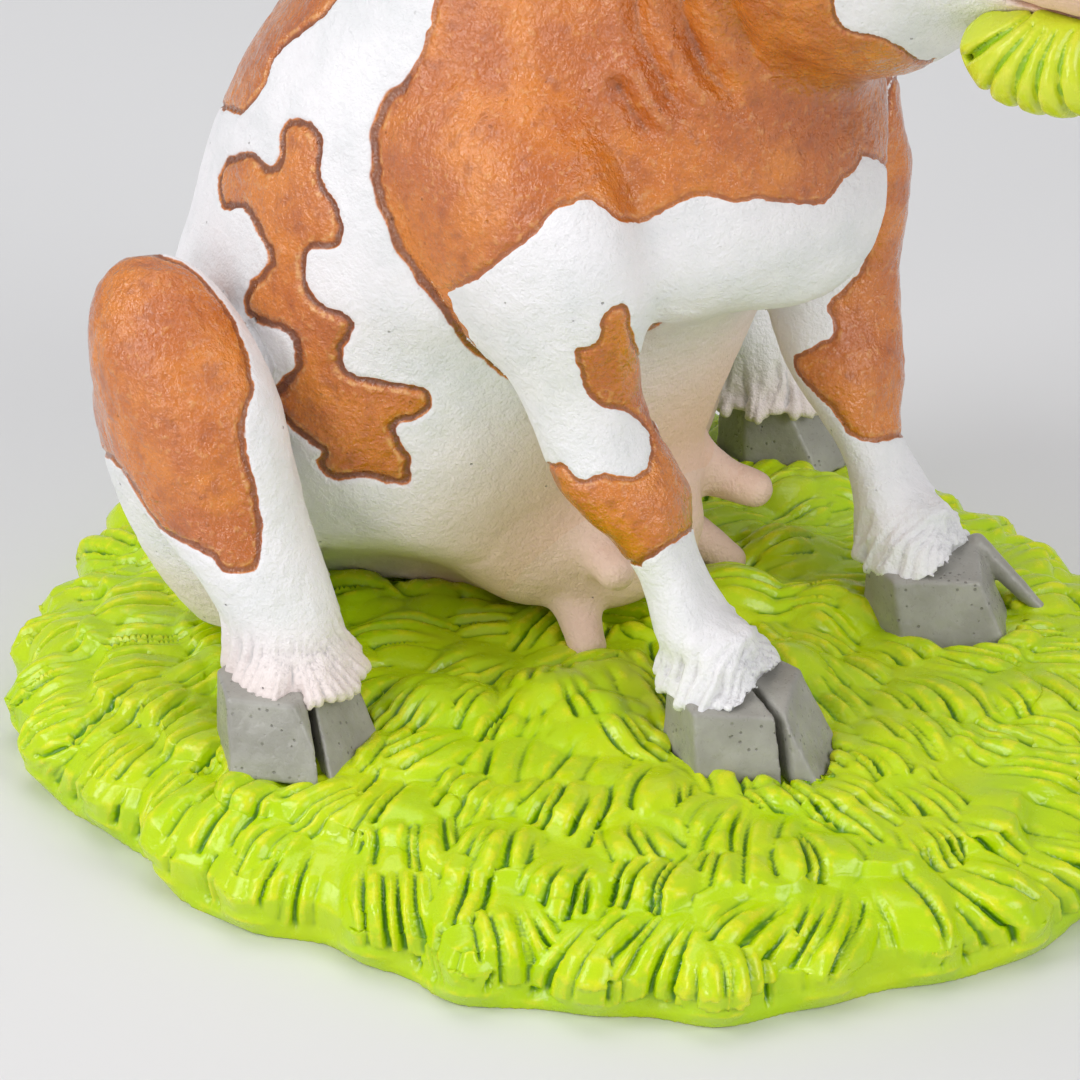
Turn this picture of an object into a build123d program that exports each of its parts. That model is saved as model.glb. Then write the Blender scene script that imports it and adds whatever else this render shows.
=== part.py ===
from build123d import *
import math
import os

# Sitting cow figurine on a grass mound: a painted casting glued up from separate pieces.
# Millimetres. +Z is up, the underside of the mound is on z = 0, the cow faces -Y and its left is +X.

GLUE_GAP = 0.15

BASE_RADIUS = 72.0
BASE_THICKNESS = 13.0
BASE_CROWN = 1.2
LOBE_REACH = 1.5

TORSO_WIDTH = 75.0
TORSO_DEPTH = 80.0
TORSO_HEIGHT = 113.0

FORELEG_WIDTH = 18.0
FORELEG_DEPTH = 29.0
HIND_LEG_WIDTH = 17.8
HIND_LEG_DEPTH = 22.4
THIGH_DIAMETER = 23.0

HOOF_WIDTH = 17.0
HOOF_LENGTH = 20.0
HOOF_HEIGHT = 9.0
HOOF_SINK = 1.0
FRINGE_LAP = 1.0
CLEFT_WIDTH = 4.0

UDDER_WIDTH = 32.0
UDDER_DEPTH = 28.0
UDDER_HEIGHT = 20.0
TEAT_LENGTH = 9.5
TEAT_DIAMETER = 4.6

HEAD_LENGTH = 72.0
HEAD_HEIGHT = 52.5
HEAD_WIDTH = 40.0
EYE_DIAMETER = 9.0
HORN_LENGTH = 20.0
HORN_DIAMETER = 7.0
EAR_LENGTH = 24.0
EAR_WIDTH = 12.0
EAR_THICKNESS = 4.4

TAIL_DIAMETER = 5.2
TAIL_LENGTH = 54.0
TAIL_TUFT_LENGTH = 19.0
TAIL_TUFT_DIAMETER = 9.0

MOUTH_GRASS_WIDTH = 12.0
MOUTH_GRASS_LENGTH = 19.0
MOUTH_GRASS_HEIGHT = 11.0

SEAT_DOWEL_DIAMETER = 5.0
SEAT_DOWEL_LENGTH = 17.0
NECK_DOWEL_DIAMETER = 5.0
NECK_DOWEL_LENGTH = 17.0
LEG_DOWEL_DIAMETER = 4.0
LEG_DOWEL_LENGTH = 13.0
HOOF_PIN_DIAMETER = 3.0
HOOF_PIN_LENGTH = 11.0

# What follows from the sizes above: where each piece sits on the next.
MEADOW_Z = BASE_THICKNESS
HOOF_BOTTOM_Z = MEADOW_Z - HOOF_SINK
FETLOCK_Z = HOOF_BOTTOM_Z + HOOF_HEIGHT - FRINGE_LAP
SHOULDER_TOP_SHARE = 0.681
SHOULDER_TOP_Z = MEADOW_Z + SHOULDER_TOP_SHARE * TORSO_HEIGHT
KNEE_TOP_SHARE = 0.456
KNEE_TOP_Z = MEADOW_Z + KNEE_TOP_SHARE * TORSO_HEIGHT

# Half the distance between a pair of feet, shoulders or knees, as a share of the torso's width.
FORE_STANCE_SHARE = 0.267
SHOULDER_SPAN_SHARE = 0.353
HIND_STANCE_SHARE = 0.634
KNEE_SPAN_SHARE = 0.612
FORE_STANCE = FORE_STANCE_SHARE * TORSO_WIDTH
SHOULDER_SPAN = SHOULDER_SPAN_SHARE * TORSO_WIDTH
HIND_STANCE = HIND_STANCE_SHARE * TORSO_WIDTH
KNEE_SPAN = KNEE_SPAN_SHARE * TORSO_WIDTH

# Places from front (-) to back (+), as shares of the torso's depth.
FORE_FETLOCK_SHARE = -0.375
SHOULDER_SHARE = 0.0125
HIND_FETLOCK_SHARE = 0.1375
KNEE_SHARE = 0.406
FORE_FETLOCK_Y = FORE_FETLOCK_SHARE * TORSO_DEPTH
SHOULDER_Y = SHOULDER_SHARE * TORSO_DEPTH
HIND_FETLOCK_Y = HIND_FETLOCK_SHARE * TORSO_DEPTH
KNEE_Y = KNEE_SHARE * TORSO_DEPTH

HEAD_BACK_SHARE = -0.025
HEAD_LIFT_SHARE = 0.668
HEAD_BACK_Y = HEAD_BACK_SHARE * TORSO_DEPTH
HEAD_LOW_Z = MEADOW_Z + HEAD_LIFT_SHARE * TORSO_HEIGHT

HIND_TOE_ANGLE = 52.0
FORE_TOE_ANGLE = 0.0

# The mound's rim, as shares of its radius at even steps round from +X.
RIM_SHARES = (
    0.840, 0.870, 0.885, 0.905, 0.945, 0.965, 0.970, 0.980, 1.000, 1.015, 1.005, 1.000,
    1.015, 1.015, 0.995, 0.990, 1.005, 1.015, 1.018, 1.022, 1.005, 0.965, 0.955, 0.990,
    0.980, 0.950, 0.975, 1.025, 1.018, 1.028, 1.062, 1.038, 1.028, 1.050, 1.048, 1.020,
    1.015, 1.010, 0.985, 0.950, 0.935, 0.910, 0.870, 0.835, 0.820, 0.820, 0.810, 0.815,
)
# Tiers of grass from the rim to the middle: height as shares of the thickness and of the crown, spread
# as a share of the rim, which row of lobes the tier's edge has, and the share of their reach.
TIER_SHARES = (
    (0.000, 0.00, 0.985, 0, 0.1),
    (0.200, 0.00, 1.000, 0, 0.7),
    (0.440, 0.00, 1.008, 0, 1.0),
    (0.620, 0.00, 0.985, 0, 1.0),
    (0.730, 0.00, 0.935, 0, 0.6),
    (0.780, 0.00, 0.885, 1, 0.7),
    (0.910, 0.00, 0.870, 1, 1.0),
    (0.960, 0.00, 0.810, 1, 0.6),
    (0.965, 0.00, 0.725, 2, 0.7),
    (1.000, 0.35, 0.705, 2, 1.0),
    (1.000, 0.50, 0.600, 2, 0.4),
    (1.000, 0.70, 0.400, 2, 0.0),
    (1.000, 0.90, 0.220, 2, 0.0),
    (1.000, 1.00, 0.080, 2, 0.0),
)
# Each row of lobes: how many go round, where the first lies and how unevenly they follow.
LOBE_ROWS = ((34, 0.0, 1.3), (29, 1.1, 1.6), (23, 2.3, 1.4))
RIM_POINTS = 144

# Torso, from the seat to the end of the neck, in level rings: height, front edge, back edge, width
# and how much narrower the ring is at the front than at the back.
TORSO_SHARES = (
    (0.000, 0.125, 0.575, 0.453, 0.00),
    (0.044, 0.038, 0.650, 0.667, 0.00),
    (0.097, -0.025, 0.700, 0.827, 0.00),
    (0.177, -0.075, 0.725, 0.947, 0.03),
    (0.283, -0.125, 0.719, 1.000, 0.06),
    (0.389, -0.215, 0.680, 1.000, 0.10),
    (0.430, -0.320, 0.660, 0.990, 0.14),
    (0.480, -0.395, 0.640, 0.965, 0.18),
    (0.555, -0.405, 0.600, 0.905, 0.20),
    (0.650, -0.378, 0.510, 0.800, 0.22),
    (0.743, -0.342, 0.375, 0.667, 0.20),
    (0.841, -0.300, 0.225, 0.533, 0.15),
    (0.929, -0.238, 0.130, 0.440, 0.10),
    (1.000, -0.188, 0.010, 0.290, 0.00),
)

# Legs in level rings from the fetlock up: height, way from foot to joint sideways, way from foot to
# joint lengthways, width and depth.
FORELEG_SHARES = (
    (0.000, 0.00, 0.000, 0.889, 0.600),
    (0.071, 0.00, 0.081, 0.700, 0.460),
    (0.157, 0.05, 0.210, 0.545, 0.350),
    (0.229, 0.12, 0.323, 0.610, 0.400),
    (0.307, 0.30, 0.452, 0.810, 0.483),
    (0.385, 0.42, 0.545, 0.790, 0.480),
    (0.460, 0.55, 0.615, 0.760, 0.490),
    (0.560, 0.74, 0.690, 0.890, 0.700),
    (0.686, 1.00, 0.774, 1.000, 1.000),
    (0.857, 1.00, 0.903, 0.944, 1.000),
    (0.940, 0.70, 0.960, 0.720, 0.760),
    (1.000, 0.20, 1.000, 0.400, 0.450),
)
HIND_LEG_SHARES = (
    (0.000, 0.00, 0.000, 0.876, 0.732),
    (0.135, 0.17, 0.125, 0.742, 0.625),
    (0.292, 0.17, 0.325, 0.854, 0.741),
    (0.494, 0.17, 0.610, 0.978, 1.000),
    (0.719, 0.33, 0.775, 1.000, 1.000),
    (0.854, 0.67, 0.900, 0.876, 0.821),
    (0.966, 1.00, 0.975, 0.517, 0.482),
    (1.000, 1.00, 1.000, 0.169, 0.179),
)
# Thigh from the hip to the knee: sideways in torso half-widths, lengthways in torso depths, up in torso
# heights, and thickness.
THIGH_SHARES = (
    (0.800, 0.388, 0.053, 0.84),
    (0.907, 0.412, 0.150, 1.00),
    (1.067, 0.419, 0.265, 0.91),
    (1.200, 0.388, 0.363, 0.72),
)

# Hoof in level rings from the sole up: height, step back, width, length.
HOOF_SHARES = ((0.0, 0.00, 1.00, 1.00), (0.5, 0.07, 0.93, 0.93), (1.0, 0.15, 0.80, 0.80))
HOOF_SETBACK_SHARE = 0.16
CLEFT_DEPTH_SHARE = 0.62

UDDER_PLACE_SHARES = (0.0, 0.0125, 0.080)
# Udder rings from the bottom up: height, spread.
UDDER_RING_SHARES = (
    (0.0, 0.34),
    (0.10, 0.64),
    (0.28, 0.90),
    (0.50, 1.0),
    (0.72, 0.90),
    (0.90, 0.64),
    (1.0, 0.34),
)
# Teats: root and tip from the udder's middle, in its half sizes sideways, lengthways and up.
TEAT_SHARES = (
    ((-0.78, 0.04, 0.60), (-0.88, -0.68, 0.35)),
    ((-0.80, 0.07, -0.35), (-0.89, -0.43, -0.80)),
    ((0.78, 0.04, 0.60), (0.88, -0.68, 0.35)),
    ((0.80, 0.07, -0.35), (0.89, -0.43, -0.80)),
)
# Teat rings along its length: way along, thickness.
TEAT_RING_SHARES = ((0.0, 1.0), (0.5, 0.94), (0.85, 0.78), (1.0, 0.50))

# Head in upright rings from the neck to the muzzle: way along, low edge, high edge, width.
HEAD_SHARES = (
    (0.000, 0.295, 0.676, 0.475),
    (0.097, 0.162, 0.876, 0.790),
    (0.208, 0.057, 0.971, 0.935),
    (0.333, 0.000, 1.000, 1.000),
    (0.472, 0.010, 0.943, 0.950),
    (0.597, 0.114, 0.819, 0.790),
    (0.708, 0.200, 0.743, 0.710),
    (0.819, 0.238, 0.724, 0.750),
    (0.917, 0.276, 0.676, 0.700),
    (0.979, 0.352, 0.600, 0.475),
    (1.000, 0.419, 0.533, 0.225),
)
# Places on the head: sideways in half widths, along in lengths, up in heights.
EYE_PLACE_SHARES = (0.66, 0.528, 0.686)
HORN_PLACE_SHARES = (0.46, 0.200, 0.840)
EAR_PLACE_SHARES = (0.76, 0.200, 0.720)
MOUTH_GRASS_PLACE_SHARES = (-0.45, 0.814, 0.190)
# Horn and ear rings: way out, way up (both in lengths), then thickness or width and thickness.
HORN_SHARES = ((0.0, 0.0, 1.0), (0.35, 0.22, 0.86), (0.56, 0.56, 0.62), (0.60, 0.92, 0.26))
EAR_SHARES = (
    (0.0, 0.0, 0.50, 0.80),
    (0.28, 0.0, 0.86, 1.0),
    (0.62, -0.05, 1.0, 0.90),
    (1.0, -0.16, 0.22, 0.34),
)
# Mouth grass rings along its length: way along, width, height.
MOUTH_GRASS_SHARES = (
    (0.0, 0.40, 0.42),
    (0.22, 0.86, 0.88),
    (0.60, 1.0, 1.0),
    (0.88, 0.72, 0.74),
    (1.0, 0.34, 0.36),
)

# Tail route from the rump round to the left: sideways, back and up from its root, in tail lengths.
TAIL_ROUTE_SHARES = (
    (0.0, 0.0, 0.0),
    (0.04, 0.150, -0.110),
    (0.16, 0.205, -0.290),
    (0.35, 0.185, -0.400),
    (0.52, 0.115, -0.405),
)
TAIL_THICKNESS_SHARES = (1.0, 0.92, 0.84, 0.78, 0.74)
TAIL_ROOT_SHARES = (0.0, 0.665, 0.200)
# Tuft rings along its length: way along, thickness.
TAIL_TUFT_SHARES = ((0.0, 0.66), (0.30, 1.0), (0.65, 0.84), (1.0, 0.20))
TAIL_TUFT_LAP_SHARE = 0.25

# Dowel places: how far out, back and up, as shares of the torso's half width, depth and height.
SEAT_DOWEL_PLACE_SHARES = (0.24, 0.325)
SEAT_DOWEL_IN_BASE_SHARE = 0.5
NECK_DOWEL_PLACE_SHARE = -0.125
NECK_DOWEL_IN_TORSO_SHARE = 0.70
FORELEG_DOWEL_PLACE_SHARES = (0.735, -0.060, 0.470)
HIND_LEG_DOWEL_PLACE_SHARES = (0.93, 0.425, 0.180)
HOOF_PIN_IN_HOOF_SHARE = 0.52

RING_POINTS = 14
SIDES = (("right", -1), ("left", 1))


def between(start, end, share):
    return start + (end - start) * share


def solid_of(shape):
    """The largest solid of a shape, so that no thin leftover of a cut stays in a piece."""
    return max(shape.solids(), key=lambda solid: solid.volume)


def ring_face(points):
    return Face(Wire([Spline(*points, periodic=True)]))


def turn(index, count):
    return 2 * math.pi * index / count


def level_ring(x, y, z, half_width, half_depth, front_taper=0.0, toe_angle=0.0):
    """A level oval from its back round; a taper narrows its front half, a toe angle turns it."""
    points = []
    cosine = math.cos(math.radians(toe_angle))
    sine = math.sin(math.radians(toe_angle))
    for index in range(RING_POINTS):
        angle = turn(index, RING_POINTS)
        across = half_width * math.sin(angle) * (1 + front_taper * math.cos(angle))
        along = half_depth * math.cos(angle)
        points.append((x + across * cosine - along * sine, y + across * sine + along * cosine, z))
    return ring_face(points)


def ring_about(centre, first, second, first_half, second_half):
    """An oval about a centre, in the plane of two unit directions."""
    points = []
    for index in range(RING_POINTS):
        angle = turn(index, RING_POINTS)
        across = first * (first_half * math.cos(angle))
        points.append(centre + across + second * (second_half * math.sin(angle)))
    return ring_face(points)


def end_grow(index, count, grow):
    """How far a ring of a grown form moves along its stack: the two end rings move apart."""
    if index == 0:
        return -grow
    if index == count - 1:
        return grow
    return 0.0


def cylinder_along(start, direction, diameter, length):
    plane = Plane(origin=start, z_dir=direction)
    return plane * Cylinder(diameter / 2, length, align=(Align.CENTER, Align.CENTER, Align.MIN))


def rim_at(angle):
    """The rim at an angle, eased between the steps of its table."""
    place = angle / turn(1, len(RIM_SHARES))
    index = int(place)
    part = place - index
    eased = part * part * (3 - 2 * part)
    return between(RIM_SHARES[index % len(RIM_SHARES)], RIM_SHARES[(index + 1) % len(RIM_SHARES)], eased)


def lobe_at(angle, row):
    """How far the lobes of a row stand out at an angle, from -1 to 1."""
    count, start, uneven = LOBE_ROWS[row]
    return math.cos(count * angle + start + uneven * math.sin(3 * angle + start))


def mound():
    rings = []
    for thick, crown, spread, row, reach in TIER_SHARES:
        height = thick * BASE_THICKNESS + crown * BASE_CROWN
        points = []
        for index in range(RIM_POINTS):
            angle = turn(index, RIM_POINTS)
            radius = BASE_RADIUS * rim_at(angle) * spread + LOBE_REACH * reach * lobe_at(angle, row)
            points.append((radius * math.cos(angle), radius * math.sin(angle), height))
        rings.append(ring_face(points))
    return loft(rings, ruled=True)


def torso_place(shares):
    """A place by the torso: sideways in half widths, lengthways in depths and up in heights."""
    out, back, up = shares
    return Vector(out * TORSO_WIDTH / 2, back * TORSO_DEPTH, MEADOW_Z + up * TORSO_HEIGHT)


def torso_form(grow=0.0):
    rings = []
    for index, (height, front, back, width, taper) in enumerate(TORSO_SHARES):
        z = MEADOW_Z + height * TORSO_HEIGHT + end_grow(index, len(TORSO_SHARES), grow)
        middle = (front + back) / 2 * TORSO_DEPTH
        half_depth = (back - front) / 2 * TORSO_DEPTH + grow
        rings.append(level_ring(0, middle, z, width * TORSO_WIDTH / 2 + grow, half_depth, taper))
    return loft(rings)


def leg_form(side, shares, bottom, top, half_width, half_depth, grow):
    """A leg from the fetlock (bottom) to its upper joint (top), each given as out, lengthways and up."""
    rings = []
    for index, (height, outward, lengthways, width, depth) in enumerate(shares):
        x = side * between(bottom[0], top[0], outward)
        y = between(bottom[1], top[1], lengthways)
        z = between(bottom[2], top[2], height) + end_grow(index, len(shares), grow)
        rings.append(level_ring(x, y, z, width * half_width + grow, depth * half_depth + grow))
    return loft(rings)


def foreleg_form(side, grow=0.0):
    bottom = (FORE_STANCE, FORE_FETLOCK_Y, FETLOCK_Z)
    top = (SHOULDER_SPAN, SHOULDER_Y, SHOULDER_TOP_Z)
    return leg_form(side, FORELEG_SHARES, bottom, top, FORELEG_WIDTH / 2, FORELEG_DEPTH / 2, grow)


def hind_leg_form(side, grow=0.0):
    bottom = (HIND_STANCE, HIND_FETLOCK_Y, FETLOCK_Z)
    top = (KNEE_SPAN, KNEE_Y, KNEE_TOP_Z)
    shank = leg_form(side, HIND_LEG_SHARES, bottom, top, HIND_LEG_WIDTH / 2, HIND_LEG_DEPTH / 2, grow)
    spots = [torso_place((side * out, back, up)) for out, back, up, _ in THIGH_SHARES]
    thigh = along_route(spots, [thick * THIGH_DIAMETER for _, _, _, thick in THIGH_SHARES], grow)
    return shank + thigh


def fore_foot(side):
    return (side * FORE_STANCE, FORE_FETLOCK_Y, side * FORE_TOE_ANGLE)


def hind_foot(side):
    return (side * HIND_STANCE, HIND_FETLOCK_Y, side * HIND_TOE_ANGLE)


def hoof_block(foot, grow=0.0):
    """A hoof without its cleft: its top is under the fetlock and its toe points along the toe angle."""
    x, y, toe_angle = foot
    toe = Vector(0, -1, 0).rotate(Axis.Z, toe_angle)
    centre = Vector(x, y, HOOF_BOTTOM_Z) + toe * (HOOF_SETBACK_SHARE * HOOF_LENGTH)
    rings = []
    for index, (height, back, width, length) in enumerate(HOOF_SHARES):
        spot = centre - toe * (back * HOOF_LENGTH)
        z = HOOF_BOTTOM_Z + height * HOOF_HEIGHT + end_grow(index, len(HOOF_SHARES), grow)
        half_width = width * HOOF_WIDTH / 2 + grow
        half_length = length * HOOF_LENGTH / 2 + grow
        rings.append(level_ring(spot.X, spot.Y, z, half_width, half_length, toe_angle=toe_angle))
    return loft(rings)


def cleft(foot):
    """The wedge between the two claws, open at the toe."""
    x, y, toe_angle = foot
    toe = Vector(0, -1, 0).rotate(Axis.Z, toe_angle)
    across = Vector(1, 0, 0).rotate(Axis.Z, toe_angle)
    tip = Vector(x, y, HOOF_BOTTOM_Z - HOOF_HEIGHT) + toe * ((HOOF_SETBACK_SHARE + 0.5) * HOOF_LENGTH)
    apex = tip - toe * (CLEFT_DEPTH_SHARE * HOOF_LENGTH)
    open_end = tip + toe * CLEFT_WIDTH
    corners = (apex, open_end + across * CLEFT_WIDTH, open_end - across * CLEFT_WIDTH)
    outline = make_face(Polyline(*corners, close=True))
    return extrude(outline, amount=3 * HOOF_HEIGHT, dir=(0, 0, 1))


def udder_place(shares):
    return Vector(
        shares[0] * UDDER_WIDTH / 2,
        UDDER_PLACE_SHARES[1] * TORSO_DEPTH + shares[1] * UDDER_DEPTH / 2,
        MEADOW_Z + UDDER_PLACE_SHARES[2] * TORSO_HEIGHT + shares[2] * UDDER_HEIGHT / 2,
    )


def udder_form(grow=0.0):
    middle = udder_place((0, 0, 0))
    rings = []
    for index, (height, spread) in enumerate(UDDER_RING_SHARES):
        z = middle.Z + (height - 0.5) * UDDER_HEIGHT + end_grow(index, len(UDDER_RING_SHARES), grow)
        half_width = spread * UDDER_WIDTH / 2 + grow
        rings.append(level_ring(middle.X, middle.Y, z, half_width, spread * UDDER_DEPTH / 2 + grow))
    return loft(rings)


def teat(shares, grow=0.0):
    root = udder_place(shares[0])
    aim = (udder_place(shares[1]) - root).normalized()
    spots = [root + aim * (way * TEAT_LENGTH) for way, _ in TEAT_RING_SHARES]
    return along_route(spots, [thick * TEAT_DIAMETER for _, thick in TEAT_RING_SHARES], grow)


def head_place(shares, side=1):
    return Vector(
        side * shares[0] * HEAD_WIDTH / 2,
        HEAD_BACK_Y - shares[1] * HEAD_LENGTH,
        HEAD_LOW_Z + shares[2] * HEAD_HEIGHT,
    )


def head_form(grow=0.0):
    rings = []
    for index, (along, low, high, width) in enumerate(HEAD_SHARES):
        centre = head_place((0, along, (low + high) / 2))
        centre -= Vector(0, end_grow(index, len(HEAD_SHARES), grow), 0)
        half_height = (high - low) / 2 * HEAD_HEIGHT + grow
        half_width = width * HEAD_WIDTH / 2 + grow
        rings.append(ring_about(centre, Vector(0, 0, 1), Vector(1, 0, 0), half_height, half_width))
    return loft(rings)


def eye_form(side, grow=0.0):
    return Pos(*head_place(EYE_PLACE_SHARES, side)) * Sphere(EYE_DIAMETER / 2 + grow)


def horn_form(side, grow=0.0):
    root = head_place(HORN_PLACE_SHARES, side)
    spots = [root + Vector(side * out * HORN_LENGTH, 0, up * HORN_LENGTH) for out, up, _ in HORN_SHARES]
    return along_route(spots, [thick * HORN_DIAMETER for _, _, thick in HORN_SHARES], grow)


def ear_form(side, grow=0.0):
    root = head_place(EAR_PLACE_SHARES, side)
    rings = []
    for index, (out, up, width, thick) in enumerate(EAR_SHARES):
        way = out * EAR_LENGTH + end_grow(index, len(EAR_SHARES), grow)
        centre = root + Vector(side * way, 0, up * EAR_LENGTH)
        half_width = width * EAR_WIDTH / 2 + grow
        half_thickness = thick * EAR_THICKNESS / 2 + grow
        rings.append(ring_about(centre, Vector(0, 0, 1), Vector(0, 1, 0), half_width, half_thickness))
    return loft(rings)


def along_route(spots, diameters, grow):
    """A round bar through the spots, thicker or thinner at each of them."""
    rings = []
    for index, spot in enumerate(spots):
        before = spots[max(index - 1, 0)]
        after = spots[min(index + 1, len(spots) - 1)]
        aim = (after - before).normalized()
        plane = Plane(origin=spot + aim * end_grow(index, len(spots), grow), z_dir=aim, x_dir=side_of(aim))
        half = diameters[index] / 2 + grow
        rings.append(ring_about(plane.origin, plane.x_dir, plane.y_dir, half, half))
    return loft(rings)


def side_of(aim):
    """The level direction square to the aim."""
    return aim.cross(Vector(0, 0, 1)).normalized()


def tail_spots():
    root = torso_place(TAIL_ROOT_SHARES)
    return [root + Vector(*shares) * TAIL_LENGTH for shares in TAIL_ROUTE_SHARES]


def tail_form(grow=0.0):
    return along_route(tail_spots(), [share * TAIL_DIAMETER for share in TAIL_THICKNESS_SHARES], grow)


def tail_tuft_form(grow=0.0):
    spots = tail_spots()
    aim = (spots[-1] - spots[-2]).normalized()
    start = spots[-1] - aim * (TAIL_TUFT_LAP_SHARE * TAIL_TUFT_LENGTH)
    places = [start + aim * (way * TAIL_TUFT_LENGTH) for way, _ in TAIL_TUFT_SHARES]
    return along_route(places, [thick * TAIL_TUFT_DIAMETER for _, thick in TAIL_TUFT_SHARES], grow)


def mouth_grass_form():
    start = head_place(MOUTH_GRASS_PLACE_SHARES) + Vector(0, MOUTH_GRASS_LENGTH / 2, 0)
    rings = []
    for way, width, height in MOUTH_GRASS_SHARES:
        centre = start - Vector(0, way * MOUTH_GRASS_LENGTH, 0)
        half_width = width * MOUTH_GRASS_WIDTH / 2
        half_height = height * MOUTH_GRASS_HEIGHT / 2
        rings.append(ring_about(centre, Vector(1, 0, 0), Vector(0, 0, 1), half_width, half_height))
    return loft(rings)


def seat_dowel(side, grow=0.0):
    out, back = SEAT_DOWEL_PLACE_SHARES
    low = MEADOW_Z - SEAT_DOWEL_IN_BASE_SHARE * SEAT_DOWEL_LENGTH - grow
    start = (side * out * TORSO_WIDTH / 2, back * TORSO_DEPTH, low)
    return cylinder_along(start, (0, 0, 1), SEAT_DOWEL_DIAMETER + 2 * grow, SEAT_DOWEL_LENGTH + 2 * grow)


def neck_dowel(grow=0.0):
    low = MEADOW_Z + TORSO_HEIGHT - NECK_DOWEL_IN_TORSO_SHARE * NECK_DOWEL_LENGTH - grow
    start = (0, NECK_DOWEL_PLACE_SHARE * TORSO_DEPTH, low)
    return cylinder_along(start, (0, 0, 1), NECK_DOWEL_DIAMETER + 2 * grow, NECK_DOWEL_LENGTH + 2 * grow)


def leg_dowel(side, place, grow):
    middle = torso_place(place)
    inner = middle.X - LEG_DOWEL_LENGTH / 2 - grow
    start = (side * inner, middle.Y, middle.Z)
    return cylinder_along(start, (side, 0, 0), LEG_DOWEL_DIAMETER + 2 * grow, LEG_DOWEL_LENGTH + 2 * grow)


def foreleg_dowel(side, grow=0.0):
    return leg_dowel(side, FORELEG_DOWEL_PLACE_SHARES, grow)


def hind_leg_dowel(side, grow=0.0):
    return leg_dowel(side, HIND_LEG_DOWEL_PLACE_SHARES, grow)


def hoof_pin(foot, grow=0.0):
    low = HOOF_BOTTOM_Z + HOOF_HEIGHT - HOOF_PIN_IN_HOOF_SHARE * HOOF_PIN_LENGTH - grow
    start = (foot[0], foot[1], low)
    return cylinder_along(start, (0, 0, 1), HOOF_PIN_DIAMETER + 2 * grow, HOOF_PIN_LENGTH + 2 * grow)


os.makedirs("parts", exist_ok=True)
parts = {}

torso_room = torso_form(GLUE_GAP)
head_room = head_form(GLUE_GAP)
feet = {}
for name, side in SIDES:
    feet["forehoof_" + name] = fore_foot(side)
    feet["hind_hoof_" + name] = hind_foot(side)

teat_rooms = [teat(shares, GLUE_GAP) for shares in TEAT_SHARES]
dowel_rooms = [seat_dowel(side, GLUE_GAP) for _, side in SIDES]
hoof_rooms = [hoof_block(foot, GLUE_GAP) for foot in feet.values()]
base = mound() - hoof_rooms - [torso_room, udder_form(GLUE_GAP)] - teat_rooms
base = base - [tail_form(GLUE_GAP), tail_tuft_form(GLUE_GAP)] - dowel_rooms
torso = torso_form() - udder_form(GLUE_GAP) - tail_form(GLUE_GAP) - neck_dowel(GLUE_GAP)
torso = torso - teat_rooms - dowel_rooms
for _, side in SIDES:
    torso = torso - foreleg_dowel(side, GLUE_GAP) - hind_leg_dowel(side, GLUE_GAP)
parts["grass_base"] = solid_of(base)
parts["torso"] = solid_of(torso)

udder = udder_form()
for shares in TEAT_SHARES:
    udder += teat(shares)
parts["udder"] = solid_of(udder)
parts["tail"] = solid_of(tail_form())
parts["tail_tuft"] = solid_of(tail_tuft_form() - tail_form(GLUE_GAP))

head = head_form() - torso_room - neck_dowel(GLUE_GAP)
for name, side in SIDES:
    head = head - eye_form(side, GLUE_GAP) - horn_form(side, GLUE_GAP) - ear_form(side, GLUE_GAP)
parts["head"] = solid_of(head)
parts["mouth_grass"] = solid_of(mouth_grass_form() - head_room)

# The paired pieces: modelled on the right, mirrored to the left.
fore = fore_foot(-1)
hind = hind_foot(-1)
foreleg = foreleg_form(-1) - torso_room - hoof_block(fore, GLUE_GAP)
hind_leg = hind_leg_form(-1) - torso_room - hoof_block(hind, GLUE_GAP)
pairs = {
    "eye": eye_form(-1),
    "horn": horn_form(-1),
    "ear": ear_form(-1),
    "foreleg": foreleg - foreleg_dowel(-1, GLUE_GAP) - hoof_pin(fore, GLUE_GAP),
    "hind_leg": hind_leg - hind_leg_dowel(-1, GLUE_GAP) - hoof_pin(hind, GLUE_GAP),
    "forehoof": hoof_block(fore) - cleft(fore) - hoof_pin(fore, GLUE_GAP),
    "hind_hoof": hoof_block(hind) - cleft(hind) - hoof_pin(hind, GLUE_GAP),
}
for name, shape in pairs.items():
    parts[name + "_right"] = solid_of(shape)
    parts[name + "_left"] = solid_of(mirror(parts[name + "_right"], about=Plane.YZ))

parts["seat_dowels"] = Compound([solid_of(seat_dowel(side)) for _, side in SIDES])
parts["neck_dowel"] = solid_of(neck_dowel())
parts["foreleg_dowels"] = Compound([solid_of(foreleg_dowel(side)) for _, side in SIDES])
parts["hind_leg_dowels"] = Compound([solid_of(hind_leg_dowel(side)) for _, side in SIDES])
parts["hoof_pins"] = Compound([solid_of(hoof_pin(foot)) for foot in feet.values()])

for name, shape in parts.items():
    export_step(shape, "parts/" + name + ".step")
    print(name, round(shape.volume, 1))
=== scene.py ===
import math

import bpy
import numpy as np
import openvdb
from mathutils import Matrix, Vector, kdtree


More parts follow.
